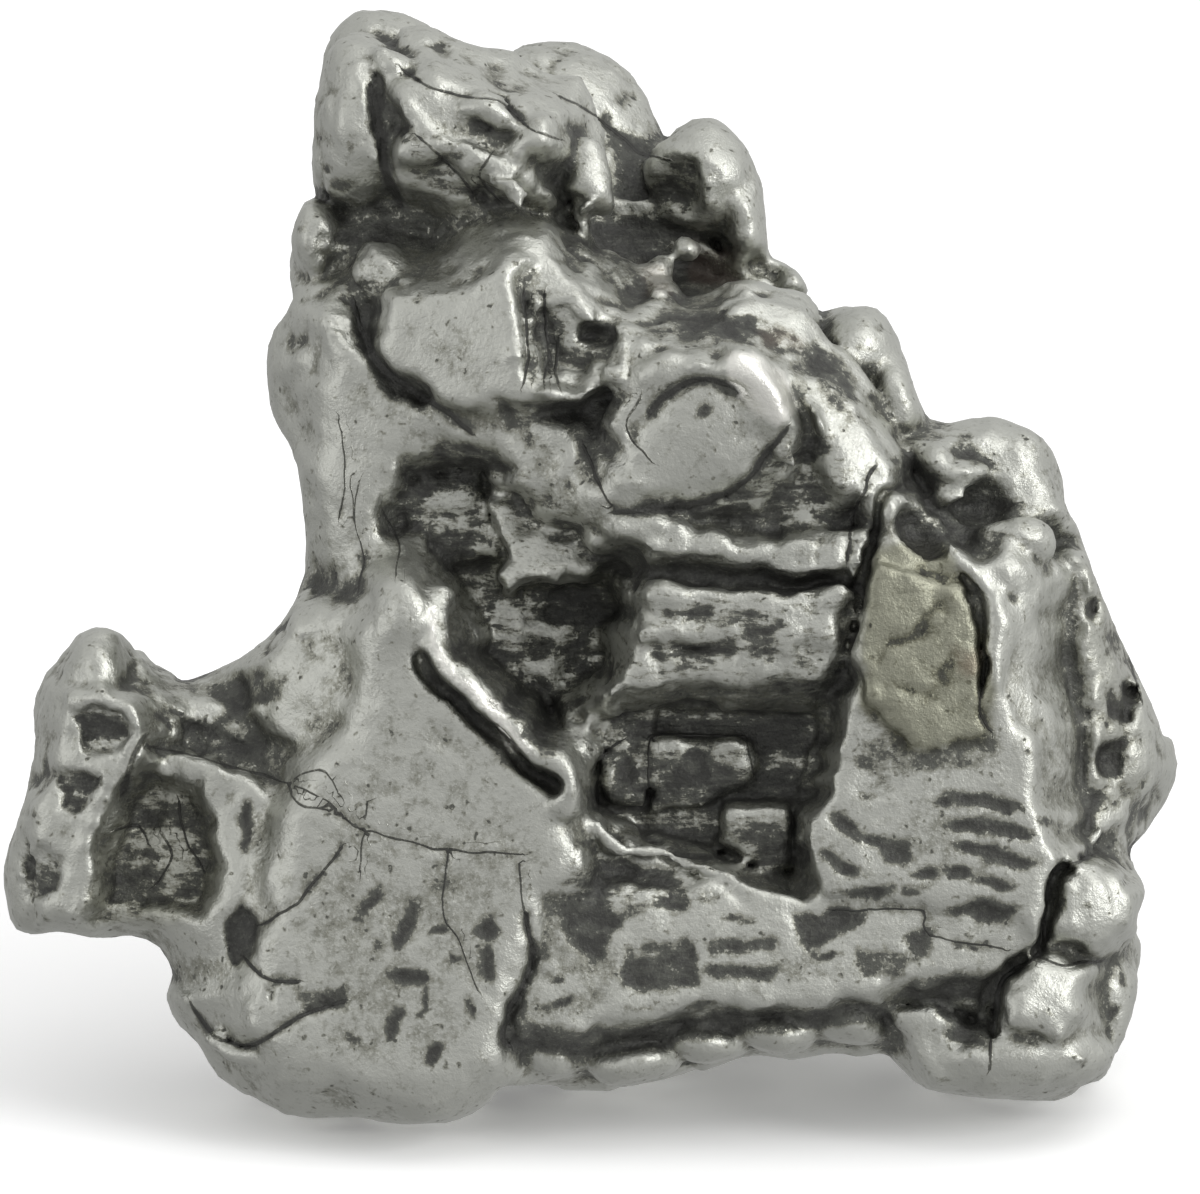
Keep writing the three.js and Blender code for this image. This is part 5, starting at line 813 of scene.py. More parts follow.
slits = [   # short open marks: right, down, half length, half width, turn in degrees
    (29.55, 24, 0.96, 0.21, 8), (28.86, 24.66, 0.54, 0.15, 10), (30.15, 24.78, 0.84, 0.18, 12),
    (29.25, 25.35, 0.66, 0.15, 8), (30.36, 25.74, 0.72, 0.18, 6), (28.65, 26.04, 0.42, 0.15, 15),
    (29.76, 26.4, 0.6, 0.15, 5), (29.55, 27.15, 1.02, 0.27, 0), (25.26, 24.66, 0.66, 0.21, 38),
    (25.14, 25.86, 0.78, 0.21, 32), (26.85, 25.5, 0.3, 0.18, 25), (26.16, 25.14, 0.3, 0.15, 30),
    (11.13, 27, 0.42, 0.12, -60), (12.3, 27.66, 0.75, 0.15, -66), (12.36, 29.16, 0.54, 0.21, 5),
    (10.74, 31.05, 0.27, 0.15, 20), (11.85, 30.66, 0.42, 0.12, -70), (14.7, 27.75, 0.33, 0.24, 0),
    (14.7, 28.8, 0.45, 0.18, 85), (13.11, 31.5, 0.36, 0.15, -50), (13.2, 27.75, 0.18, 0.12, 0),
    (12.75, 30, 0.42, 0.09, -75), (13.65, 28.8, 0.21, 0.09, 40), (12, 30.3, 0.24, 0.09, -60),
    (14.1, 30, 0.27, 0.12, 70), (11.4, 28.2, 0.15, 0.09, 0), (9.9, 30, 0.6, 0.12, -8),
    (15.6, 30, 0.3, 0.12, -60), (11.55, 21.9, 0.12, 0.06, 0), (12.9, 22.8, 0.15, 0.06, 20),
    (21.15, 12.45, 0.15, 0.12, 0), (16.8, 29.25, 0.12, 0.09, 0), (28.8, 28.2, 0.36, 0.09, 10),
    (24.6, 28.5, 0.36, 0.09, -5), (22.2, 27.45, 0.48, 0.09, 2), (25.8, 26.7, 0.9, 0.09, 0),
    (27.6, 26.1, 0.42, 0.09, 5), (27.15, 26.55, 0.54, 0.09, -3), (28.2, 24, 0.27, 0.09, 10),
    (31.2, 24.6, 0.3, 0.09, 10), (19.8, 28.8, 0.27, 0.09, 0), (16.8, 30, 0.42, 0.09, -8),
    (19.2, 30.15, 0.6, 0.09, -8), (21, 30, 0.42, 0.075, -4), (10.35, 9, 0.24, 0.15, 60),
    (12.6, 9, 0.15, 0.09, 0), (13.2, 9.9, 0.12, 0.09, 0), (10.5, 4.5, 0.18, 0.09, 30),
    (9.9, 5.1, 0.15, 0.09, 10), (10.35, 5.55, 0.42, 0.15, 15), (9, 6.9, 0.15, 0.09, 20),
    (26.4, 9.9, 0.18, 0.12, 0), (27, 12, 0.24, 0.09, 70), (26.1, 12, 0.15, 0.09, 0),
    (31.8, 27, 0.12, 0.09, 0), (32.55, 27, 0.12, 0.09, 30), (31.35, 30.3, 0.12, 0.09, 0),
    (32.1, 30.15, 0.12, 0.09, 0), (28.2, 32.25, 0.15, 0.09, 0), (32.4, 31.8, 0.18, 0.09, 0),
    (33.6, 29.4, 0.18, 0.09, 80), (33.3, 30.3, 0.24, 0.09, -60), (2.7, 25.8, 0.09, 0.09, 0),
    (1.5, 27.6, 0.12, 0.06, 0), (3.3, 24, 0.12, 0.06, 0), (6, 22.2, 0.24, 0.09, 20),
]


def smoothMin(a, b, blend):
    near = np.maximum(blend - np.abs(a - b), 0) / blend
    return np.minimum(a, b) - near * near * blend * 0.25


def smoothMax(a, b, blend):
    return -smoothMin(-a, -b, blend)


def smoothStep(low, high, value):
    t = np.clip((value - low) / (high - low), 0, 1)
    return t * t * (3 - 2 * t)


def curveThrough(points, steps, closed):
    points = np.array(points, float)
    if not closed:
        points = np.vstack([2 * points[0] - points[1], points, 2 * points[-1] - points[-2]])
    count = len(points)
    spans = range(count) if closed else range(1, count - 2)
    t = np.arange(steps)[:, None] / steps
    parts = []
    for i in spans:
        a, b, c, d = points[i - 1], points[i], points[(i + 1) % count], points[(i + 2) % count]
        parts.append(0.5 * (2 * b + (c - a) * t + (2 * a - 5 * b + 4 * c - d) * t ** 2
                            + (3 * b - a - 3 * c + d) * t ** 3))
    if not closed:
        parts.append(points[-2:-1])
    return np.vstack(parts)


def segmentShare(x, y, x1, y1, x2, y2):
    alongX, alongY = x2 - x1, y2 - y1
    share = ((x - x1) * alongX + (y - y1) * alongY) / max(alongX ** 2 + alongY ** 2, 1e-12)
    return np.clip(share, 0, 1)


def outlineDistance(points, x, y):
    best = np.full(np.broadcast(x, y).shape, 1e9, np.float32)
    inside = np.zeros(best.shape, bool)
    for (x1, y1), (x2, y2) in zip(np.roll(points, 1, axis=0), points):
        share = segmentShare(x, y, x1, y1, x2, y2)
        best = np.minimum(best, (x - x1 - share * (x2 - x1)) ** 2
                          + (y - y1 - share * (y2 - y1)) ** 2)
        if y1 != y2:
            inside ^= ((y1 > y) != (y2 > y)) & (x < (x2 - x1) * (y - y1) / (y2 - y1) + x1)
    return np.where(inside, -1, 1) * np.sqrt(best)


# how far a place is from a path, negative on its left
def sidedDistance(points, x, y):
    best = np.full(np.broadcast(x, y).shape, 1e9, np.float32)
    side = np.ones(best.shape, np.float32)
    for (x1, y1), (x2, y2) in zip(points[:-1], points[1:]):
        share = segmentShare(x, y, x1, y1, x2, y2)
        far = (x - x1 - share * (x2 - x1)) ** 2 + (y - y1 - share * (y2 - y1)) ** 2
        turn = (x2 - x1) * (y - y1) - (y2 - y1) * (x - x1)
        nearer = far < best
        side = np.where(nearer, np.where(turn < 0, -1, 1), side)
        best = np.where(nearer, far, best)
    return np.sqrt(best) * side


def pathDistance(points, x, y):
    return np.abs(sidedDistance(points, x, y))


# sets the noises apart from one another
noiseShift = {"tornRight": 3.1, "tornDown": 9.4, "grain": 2.0, "lamella": 5.0, "rubble": 15.0,
              "wrinkle": 21.0, "pit": 4.4, "backStair": 8.8, "mottle": 2.6}

# smooth random values on a lattice that repeats every 32 steps
chance = np.random.default_rng(mass["seed"])
lattice = chance.random((32, 32, 32)).astype(np.float32)


# x, y and z in lattice steps
def noiseAt(x, y, z):
    places = []
    for value in (x, y, z):
        whole = np.floor(value)
        part = (value - whole).astype(np.float32)
        low = whole.astype(np.int32) & 31
        places.append((low, (low + 1) & 31, part * part * (3 - 2 * part)))
    (x0, x1, fx), (y0, y1, fy), (z0, z1, fz) = places
    near = (lattice[x0, y0, z0] * (1 - fx) + lattice[x1, y0, z0] * fx) * (1 - fy) \
        + (lattice[x0, y1, z0] * (1 - fx) + lattice[x1, y1, z0] * fx) * fy
    far = (lattice[x0, y0, z1] * (1 - fx) + lattice[x1, y0, z1] * fx) * (1 - fy) \
        + (lattice[x0, y1, z1] * (1 - fx) + lattice[x1, y1, z1] * fx) * fy
    return near * (1 - fz) + far * fz


def layeredNoise(x, y, z, size, layers, shift=0.0):
    total, weight, scale = 0.0, 0.0, 1.0
    for layer in range(layers):
        offset = shift + 7.3 * layer
        across, along = x / size * scale + offset, y / size * scale + offset * 1.7
        total = total + noiseAt(across, along, z / size * scale) / scale
        weight += 1 / scale
        scale *= 2.0
    return total / weight


# 1 along a net of creases, 0 between them; the net fades in and out
def wrinkles(x, y, z):
    size = relief["wrinkleSize"]
    off = np.abs(layeredNoise(x, y, z, size, 3, noiseShift["wrinkle"]) - 0.5) * 2
    patches = smoothStep(0.38, 0.58, noiseAt(x / size / 2.2 + 3, y / size / 2.2, z / size / 2.2))
    return smoothStep(relief["wrinkleHalf"], 0, off) * patches


# a staircase of the value, from 0 to 1
def terraces(value, steps, sharpness):
    scaled = value * steps
    whole = np.floor(scaled)
    return (whole + smoothStep(0.5 - 0.5 / sharpness, 0.5 + 0.5 / sharpness,
                               scaled - whole)) / steps


# distances measured on a regular lattice of points: negative inside the fragment
class Space:
    def __init__(self, low, high, step):
        self.step = step
        self.axes = [np.arange(a, b + step / 2, step, dtype=np.float32) for a, b in zip(low, high)]
        self.values = np.full([len(axis) for axis in self.axes], 1e3, np.float32)

    def window(self, low, high):
        cuts = []
        for axis, a, b in zip(self.axes, low, high):
            first, last = int(np.searchsorted(axis, a)), int(np.searchsorted(axis, b))
            cuts.append(slice(max(first - 1, 0), last + 1))
        x, y, z = (axis[cut] for axis, cut in zip(self.axes, cuts))
        return tuple(cuts), x[:, None, None], y[None, :, None], z[None, None, :]


# slow waves that keep drawn edges from being straight: height in mm, turns along right and down, start
waver = {
    "right": ((0.12, 0, 1.3, 1), (0.06, -1.7, 2.9, 2)),
    "down": ((0.10, 1.2, 0, 2), (0.05, 2.7, 1.9, 0.5)),
}


def warped(x, y):
    right, down = x, y
    for height, alongRight, alongDown, start in waver["right"]:
        right = right + height * np.sin(alongRight * x + alongDown * y + start)
    for height, alongRight, alongDown, start in waver["down"]:
        down = down + height * np.sin(alongRight * x + alongDown * y + start)
    return right, down


# moves a place by fine noise, so that edges drawn there come out torn
def ragged(x, y, size, amount):
    right = x + amount * (layeredNoise(x, y, 0 * x, size, 2, noiseShift["tornRight"]) - 0.5) * 2
    down = y + amount * (layeredNoise(x, y, 0 * x, size, 2, noiseShift["tornDown"]) - 0.5) * 2
    return right, down


def tornPlaces(form, x, y):
    return ragged(x[:, :, 0], y[:, :, 0], mass["tornSize"], form.get("torn", mass["torn"]))


def middleDepth(x, y):
    total = depth = thickness = 0
    for right, down, out, share in midDepths:
        weight = 1 / ((x - right) ** 2 + (y - down) ** 2 + 1.5) ** 1.5
        total = total + weight
        depth = depth + weight * out
        thickness = thickness + weight * share
    return depth / total, thickness / total


def addForm(space, form):
    kind, side = form["kind"], form.get("side", 1)
    blend = form["blend"] * mass["crisp"]
    reach = blend + 1.2
    if kind in ("slab", "hollow"):
        points = np.array(form["outline"], float)
        middle = points.mean(0)
        spread = reach + form["draft"] * mass["slabDepth"] + 0.4
        cut, x, y, z = space.window([*(points.min(0) - spread), mass["behindAll"]],
                                    [*(points.max(0) + spread), mass["beforeAll"]])
        x, y = warped(x, y)
        plane = form["out"] + form["tilt"][0] * (x - middle[0]) + form["tilt"][1] * (y - middle[1])
        level = (z * side - plane) / math.hypot(1, *form["tilt"])
        flat = outlineDistance(points, *tornPlaces(form, x, y))[:, :, None]
        slope = math.hypot(1, form["draft"])
        if kind == "slab":
            edge = form["edge"] * mass["crisp"]
            flank = form["draft"] * np.maximum(level, -mass["flankDepth"])
            shape = smoothMax((flat + flank) / slope, level, edge)
            shape = np.maximum(shape, -level - mass["slabDepth"])
        else:
            shape = smoothMax((flat - form["draft"] * (z * side - form["rim"])) / slope, -level,
                              blend)
    elif kind in ("lump", "pit"):
        at, half = np.array(form["at"]), np.array(form["half"])
        cut, x, y, z = space.window(at - half.max() - reach, at + half.max() + reach)
        x, y = warped(x, y)
        spin = math.radians(form.get("spin", 0))
        across = ((x - at[0]) * math.cos(spin) + (y - at[1]) * math.sin(spin)) / half[0]
        along = ((y - at[1]) * math.cos(spin) - (x - at[0]) * math.sin(spin)) / half[1]
        outward = (z - at[2]) / half[2]
        near = np.sqrt(across ** 2 + along ** 2 + outward ** 2)
        steepness = np.sqrt((across / half[0]) ** 2 + (along / half[1]) ** 2
                            + (outward / half[2]) ** 2)
        shape = near * (near - 1) / np.maximum(steepness, 1e-6)
    elif kind == "rib":
        path = curveThrough(form["path"], 3, False)
        spread = form["radius"] + reach
        cut, x, y, z = space.window(path.min(0) - spread, path.max(0) + spread)
        x, y = warped(x, y)
        shape = 1e3
        for a, b in zip(path[:-1], path[1:]):
            along = b - a
            share = np.clip(((x - a[0]) * along[0] + (y - a[1]) * along[1] + (z - a[2]) * along[2])
                            / (along @ along), 0, 1)
            off = (x - a[0] - share * along[0]) ** 2 + (y - a[1] - share * along[1]) ** 2
            shape = np.minimum(shape, off + (z - a[2] - share * along[2]) ** 2)
        shape = np.sqrt(shape) - form["radius"]
    else:
        path = curveThrough(form["path"], 3, False)
        spread = form["width"] + reach + 1
        cut, x, y, z = space.window([*(path.min(0) - spread), form["floor"] - reach],
                                    [*(path.max(0) + spread), mass["beforeAll"]])
        x, y = warped(x, y)
        flat = pathDistance(path, *tornPlaces(form, x, y))[:, :, None]
        level = z - form["floor"]
        shape = smoothMax(flat - form["width"] - form["draft"] * np.maximum(level, 0), -level,
                          blend)
    here = space.values[cut]
    joins = kind in ("slab", "lump", "rib")
    space.values[cut] = smoothMin(here, shape, blend) if joins else smoothMax(here, -shape, blend)


# Relief, dark patina with some painted shade and painted highlights, tan and red stains of the front
# face, drawn on a fine flat map.
def frontMaps():
    step = relief["mapStep"]
    x, y = np.meshgrid(*(np.arange(relief["mapLow"], end, step) for end in relief["mapHigh"]),
                       indexing="ij")
    tornX, tornY = ragged(x, y, 0.55, 0.16)
    names = ("height", "dark", "tan", "red", "flaky", "smooth", "crackNear")
    maps = {name: np.zeros(x.shape, np.float32) for name in names}
    maps["crackSide"] = np.full(x.shape, relief["crackReach"], np.float32)
    grain = layeredNoise(x, y, 0 * x, relief["grainSize"], 3, noiseShift["grain"])

    def part(points, spread):
        low = np.array(points).min(0)[:2] - spread
        high = np.array(points).max(0)[:2] + spread
        i0, j0 = np.maximum(((low - relief["mapLow"]) / step).astype(int), 0)
        i1, j1 = ((high - relief["mapLow"]) / step).astype(int) + 2
        return slice(i0, i1), slice(j0, j1)

    for flake in flakes:
        cut = part(flake["outline"], 0.8)
        edge = outlineDistance(np.array(flake["outline"]), tornX[cut], tornY[cut])
        cover = smoothStep(0.07, -0.07, edge)
        wide = smoothStep(0.17, -0.17, edge)   # carried as values, made crisp in the material
        maps["height"][cut] += flake.get("height", 0) * cover
        for name in ("dark", "tan", "red", "flaky", "smooth"):
            if name in flake:
                maps[name][cut] = maps[name][cut] * (1 - wide) + flake[name] * wide if name == "dark" \
                    else np.maximum(maps[name][cut], flake[name] * wide)
    # where a flake's dark goes below nothing, its crown is rubbed bare and gets a painted highlight
    maps["rubbedAndPaintedHighlight"] = smoothStep(relief["paintedHighlightFrom"], relief["paintedHighlightFull"], -maps["dark"])
    for crack in cracks:
        path = curveThrough(crack["path"], 3, False)
        cut = part(path, 1.0)
        sided = sidedDistance(path, (tornX[cut] + x[cut]) * 0.5, (tornY[cut] + y[cut]) * 0.5)
        off = np.abs(sided)
        half = crack["width"] / 2
        cover = smoothStep(half + 0.07, half * 0.3, off)
        maps["height"][cut] -= crack["depth"] * cover
        stain = smoothStep(half + 0.13, half * 0.2, off)
        stain *= min(crack["width"] / relief["crackWide"], 1) ** 2
        maps["dark"][cut] = np.maximum(maps["dark"][cut], relief["crackDark"] * stain)
        inWidths = np.clip(sided / half, -relief["crackReach"], relief["crackReach"])
        before = maps["crackSide"][cut]
        maps["crackSide"][cut] = np.where(np.abs(inWidths) < np.abs(before), inWidths, before)
        maps["crackNear"][cut] = np.maximum(maps["crackNear"][cut], smoothStep(0.30, 0.12, off))
    for slit in slits:
        right, down, halfLong, halfWide, turn = slit[:5]
        cut = part([(right - halfLong, down - halfLong), (right + halfLong, down + halfLong)], 0.4)
        spin = math.radians(turn)
        across = (tornX[cut] - right) * math.cos(spin) + (tornY[cut] - down) * math.sin(spin)
        along = (tornY[cut] - down) * math.cos(spin) - (tornX[cut] - right) * math.sin(spin)
        near = np.sqrt((across / halfLong) ** 2 + (along / halfWide) ** 2)
        cover = smoothStep(1.1, 0.75, near)
        maps["height"][cut] -= min(halfWide, 0.25) * relief["slitDepth"] * cover
        maps["dark"][cut] = np.maximum(maps["dark"][cut],
                                       relief["slitDark"] * smoothStep(1.7, 0.6, near))
    # lamellae: torn terraces that run along the plates, in the flaky places
    layers = layeredNoise(x * relief["lamellaLong"] + relief["lamellaSlant"] * y, y, 0 * x,
                          relief["lamellaSize"], 3, noiseShift["lamella"])
    stair = terraces(layers, relief["lamellaSteps"], 6)
    maps["height"] += maps["flaky"] * (stair - 0.5) * relief["lamella"]
    maps["dark"] = np.clip(maps["dark"] + maps["flaky"] * (0.5 - layers) * relief["lamellaDark"],
                           -0.4, 1)
    maps["dark"] = np.clip(maps["dark"] * (0.8 + 0.4 * grain), -0.4, 1)
    return maps


# values of a flat or solid grid between its points
def sampled(grid, origin, step, places):
    grid = np.asarray(grid)
    at = [np.clip((value - start) / step, 0, size - 1.001) for value, start,
          size in zip(places, origin, grid.shape)]
    low = [value.astype(np.int32) for value in at]
    part = [(value - whole).astype(np.float32) for value, whole in zip(at, low)]
    result = 0
    for corner in range(2 ** len(at)):
        weight, index = 1, []
        for axis in range(len(at)):
            upper = corner >> axis & 1
            weight = weight * (part[axis] if upper else 1 - part[axis])
            index.append(low[axis] + upper)
        result = result + grid[tuple(index)] * weight
    return result


# two running means along each axis, close to a soft round blur
def boxBlur(grid, size):
    half = max(int(round(size)), 1)
    for axis in range(3):
        for _ in range(2):
            padded = np.pad(grid, [(half + 1, half) if k == axis else (0, 0) for k in range(3)],
                            mode="edge")
            sums = np.cumsum(padded, axis=axis, dtype=np.float32)
            upper = np.take(sums, np.arange(2 * half + 1, sums.shape[axis]), axis=axis)
            lower = np.take(sums, np.arange(0, sums.shape[axis] - 2 * half - 1), axis=axis)
            grid = (upper - lower) / (2 * half + 1)
    return grid


# where a cell would hold two separate sheets of surface, its nearest outer corner is filled
def fillPinches(values):
    inside = values < 0
    links = [(a, a | bit) for a in range(8) for bit in (1, 2, 4) if not a & bit]
    faces = []
    for bit in (1, 2, 4):
        first, second = [other for other in (1, 2, 4) if other != bit]
        faces += [(base, base | first, base | first | second, base | second) for base in (0, bit)]

    def hangsTogether(marks):
        members = {n for n in range(8) if marks[n]}
        if not members:
            return True
        reached = {min(members)}
        for _ in range(8):
            for a, b in links:
                if a in members and b in members and (a in reached) != (b in reached):
                    reached |= {a, b}
        return reached == members

    bad = np.zeros(256, bool)
    for code in range(1, 255):
        marks = [bool(code >> n & 1) for n in range(8)]
        crossed = any(marks[a] == marks[c] != marks[b] == marks[d] for a, b, c, d in faces)
        opposite = [not mark for mark in marks]
        bad[code] = crossed or not hangsTogether(marks) or not hangsTogether(opposite)
    while True:
        i, j, k = np.nonzero(bad[cellCodes(inside)])
        if not len(i):
            return inside
        corners = [(i + (n & 1), j + (n >> 1 & 1), k + (n >> 2 & 1)) for n in range(8)]
        nearest = np.array([np.where(inside[at], np.inf, values[at]) for at in corners]).argmin(0)
        for n, (a, b, c) in enumerate(corners):
            chosen = nearest == n
            inside[a[chosen], b[chosen], c[chosen]] = True


def cornerView(grid, n):
    return grid[tuple(slice(1, None) if n >> axis & 1 else slice(None, -1) for axis in range(3))]


def cellCodes(inside):
    code = np.zeros([size - 1 for size in inside.shape], np.uint8)
    for n in range(8):
        code |= cornerView(inside, n).astype(np.uint8) << n
    return code


# one point in every cell that the surface passes through, and a quad for every crossed grid edge
def surfaceOf(space):
    values = space.values
    inside = fillPinches(values)
    values = np.where(inside, np.minimum(values, -0.004), np.maximum(values, 0.004))
    code = cellCodes(inside)
    i, j, k = np.nonzero((code > 0) & (code < 255))
    corner = [values[i + (n & 1), j + (n >> 1 & 1), k + (n >> 2 & 1)] for n in range(8)]
    total = np.zeros((len(i), 3), np.float32)
    crossings = np.zeros(len(i), np.float32)
    for a in range(8):
        for axis in range(3):
            if a >> axis & 1:
                continue
            b = a | 1 << axis
            crossed = (corner[a] < 0) != (corner[b] < 0)
            share = np.where(crossed, corner[a] / np.where(crossed, corner[a] - corner[b], 1), 0)
            place = np.array([a & 1, a >> 1 & 1, a >> 2 & 1], np.float32)
            for other in range(3):
                along = place[other] + (share if other == axis else 0)
                total[:, other] += np.where(crossed, along, 0)
            crossings += crossed
    points = np.stack([i, j, k], 1) + total / crossings[:, None]
    points = points * space.step + np.array([axis[0] for axis in space.axes])
    number = np.full(code.shape, -1, np.int32)
    number[i, j, k] = np.arange(len(i))
    quads = []
    for axis in range(3):
        first, second = [other for other in range(3) if other != axis]
        ahead = [slice(1, -1)] * 3
        ahead[axis] = slice(1, None)
        here = [slice(1, -1)] * 3
        here[axis] = slice(0, -1)
        a, b = inside[tuple(here)], inside[tuple(ahead)]
        at = np.array(np.nonzero(a != b))
        at[first] += 1
        at[second] += 1
        ring = []
        for stepFirst, stepSecond in ((1, 1), (0, 1), (0, 0), (1, 0)):
            cell = at.copy()
            cell[first] -= stepFirst
            cell[second] -= stepSecond
            ring.append(number[tuple(cell)])
        quad = np.stack(ring, 1)
        turn = inside[tuple(at)]
        if axis == 1:
            turn = ~turn
        quads.append(np.where(turn[:, None], quad, quad[:, ::-1]))
    return points, np.vstack(quads)


# only the largest piece of surface is kept: crumbs and bubbles go
def largestPiece(points, quads):
    label = np.arange(len(points))
    a = np.concatenate([quads[:, 0], quads[:, 1], quads[:, 2]])
    b = np.concatenate([quads[:, 1], quads[:, 2], quads[:, 3]])
    while True:
        low = np.minimum(label[a], label[b])
        if (label[a] == label[b]).all():
            break
        np.minimum.at(label, label[a], low)
        np.minimum.at(label, label[b], low)
        label = label[label]
    names, sizes = np.unique(label, return_counts=True)
    kept = label == names[np.argmax(sizes)]
    number = np.cumsum(kept) - 1
    print("loose pieces left out:", len(names) - 1)
    return points[kept], number[quads[kept[quads[:, 0]]]]


# from the face's own directions to the table, in metres
def standing(points):
    right, down, out = points.T
    up = layout["faceHeight"] - down
    height = up * math.cos(lean) + out * math.sin(lean) - layout["restLevel"]
    away = up * math.sin(lean) - out * math.cos(lean)
    placed = np.stack([right - layout["middleRight"], away - layout["middleAway"], height], 1)
    return placed / 1000


# back from metres on the table to the face's own directions
def facePlaces(places):
    right = places[:, 0] * 1000 + layout["middleRight"]
    away = places[:, 1] * 1000 + layout["middleAway"]
    height = places[:, 2] * 1000 + layout["restLevel"]
    up = away * math.sin(lean) + height * math.cos(lean)
    out = height * math.sin(lean) - away * math.cos(lean)
    return right, layout["faceHeight"] - up, out


space = Space(mass["low"], mass["high"], mass["cell"])
gridX, gridY = np.meshgrid(space.axes[0], space.axes[1], indexing="ij")
edgeCurve = curveThrough(edgeLine, 3, True)
edgeDistance = outlineDistance(edgeCurve, gridX, gridY)
middle, thickness = middleDepth(gridX, gridY)
ring = np.maximum(mass["radius"] + edgeDistance, 0)[:, :, None]
offMiddle = (space.axes[2][None, None, :] - middle[:, :, None]) / thickness[:, :, None]
space.values[:] = np.sqrt(ring ** 2 + offMiddle ** 2) - mass["radius"]
for form in forms:
    addForm(space, form)
print("forms joined and cut:", len(forms))

maps = frontMaps()
mapOrigin = (relief["mapLow"], relief["mapLow"])
i, j, k = np.nonzero(np.abs(space.values) < relief["reach"])
x, y, z = space.axes[0][i], space.axes[1][j], space.axes[2][k]
front = smoothStep(relief["frontFrom"], relief["frontFull"], z - middle[i, j])
drawn = sampled(maps["height"], mapOrigin, relief["mapStep"], (x, y))
smooth = sampled(maps["smooth"], mapOrigin, relief["mapStep"], (x, y)) * front
change = drawn * front
flakiness = np.clip(sampled(maps["flaky"], mapOrigin, relief["mapStep"], (x, y)), 0, 1) * front
rubble = np.abs(layeredNoise(x, y, z, relief["rubbleSize"], 2, noiseShift["rubble"])
                - 0.5) * 4 - 0.6
change -= flakiness * relief["rubbleHeight"] * rubble
for layer in relief["noise"]:
    swell = layeredNoise(x, y, z, layer["size"], 2, layer["shift"]) - 0.5
    change += layer["height"] * 2 * swell * (1 - layer["calm"] * smooth)
change -= relief["wrinkleDepth"] * wrinkles(x, y, z) * (1 - smooth)
pits = layeredNoise(x, y, z, relief["pitSize"], 2, noiseShift["pit"])
change -= relief["pitDepth"] * smoothStep(relief["pitFrom"], relief["pitFrom"] + 0.12, pits)
backStair = terraces(layeredNoise(x, y * relief["backFlat"], z, relief["backSize"], 2,
                                  noiseShift["backStair"]), 6, 3) - 0.5
change += (1 - front) * backStair * relief["backStair"]
space.values[i, j, k] -= change
space.values = smoothMax(space.values, edgeDistance[:, :, None] - 0.05, 0.3)
heights = (layout["faceHeight"] - space.axes[1])[None, :, None] * math.cos(lean) \
    + space.axes[2][None, None, :] * math.sin(lean)
space.values = np.maximum(space.values, layout["restLevel"] - heights)
print("relief laid over", len(i), "places")

points, quads = largestPiece(*surfaceOf(space))
print("surface:", len(points), "points", len(quads), "faces")

fragmentMesh = bpy.data.meshes.new("fragment_raw")
fragmentMesh.from_pydata(standing(points).tolist(), [], quads.tolist())
fragmentMesh.validate()
raw = bpy.data.objects.new("fragment_raw", fragmentMesh)
bpy.context.scene.collection.objects.link(raw)


def linearColour(code):
    parts = [int(code[n:n + 2], 16) / 255 for n in (0, 2, 4)]
    linear = [part / 12.92 if part <= 0.04045 else ((part + 0.055)
                                                    / 1.055) ** 2.4 for part in parts]
    return linear + [1.0]


def addNode(tree, kind, values=None, links=None, **settings):
    node = tree.nodes.new(kind)
    for name, value in settings.items():
        setattr(node, name, value)
    for socket, value in (values or {}).items():
        node.inputs[socket].default_value = value
    for socket, source in (links or {}).items():
        tree.links.new(source, node.inputs[socket])
    return node


# Iron with about seven parts in a hundred of nickel, tumbled: raised places are silver-grey and softly
# polished, and the oxide that the tumbling couldn't reach stays near black and dull in the recesses.
tumbledIron = {
    "polished": "c0c1ba",
    "paintedHighlight": "f2f1ea",       # painted highlight on the crowns, which are rubbed bare
    "worn": "939389",
    "patinaAndPaintedShade": "555650",
    "deep": "3a3a37",
    "tan": "c6c5b8",          # thin, old rust film on the flat plates
    "red": "82604c",          # fresh rust in a few pores
    "edge": 0.45,             # where the patina gives way to the metal, over a narrow band
    "patinaMetal": 0.35,      # the oxide scatters light more than bare metal does
    "polishedRoughness": 0.43,
    "patinaRoughness": 0.52,
    "brightRoughness": 0.36,
    "grain": 2600.0,          # noise steps per metre: patches of about 0.4 mm
    "grainRange": (0.2, 0.8),   # a range is the part of its noise that is used
    "scratch": 9000.0,        # tumbling marks of about 0.1 mm
    "broken": 0.38,           # how far the grain moves the edge of the patina
    "marks": 0.5,
    "dents": 0.9,             # of the grain's size, against the step down to the patina
    "crackLine": 0.6,         # how dark a crack is, and how deep against the step down to the patina
    "crackDepth": 0.8,
    "crackRange": (0.8, 1.3),   # half widths from its middle, with the grain added, where it fades
    "pore": 3600.0,           # noise steps per metre: pores of about 0.25 mm
    "poreRange": (0.66, 0.76),
    "poreDark": 0.42,
    "streak": 5200.0,         # torn layers of about 0.2 mm, three times as long as high
    "streakFlat": (0.33, 0.33, 1.0),
    "streakRange": (0.3, 0.7),
    "streakDark": 0.50,       # how far they move the edge of the patina in the torn places
    "streakStep": 0.11,
    "streakHeight": 3.0,      # against the step from the polished level down to the patina
    "fleck": 9000.0,          # bright flecks of bare metal in the patina
    "fleckRange": (0.56, 0.74),
    "fleckBright": 0.34,
    "crust": 4200.0,          # noise steps per metre: crumbs of oxide of about 0.2 mm
    "crustHeight": 1.6,       # against the step from the polished level down to the patina
    "bump": 1.0,
    "bumpHeight": 0.00004,    # metres of that step
}


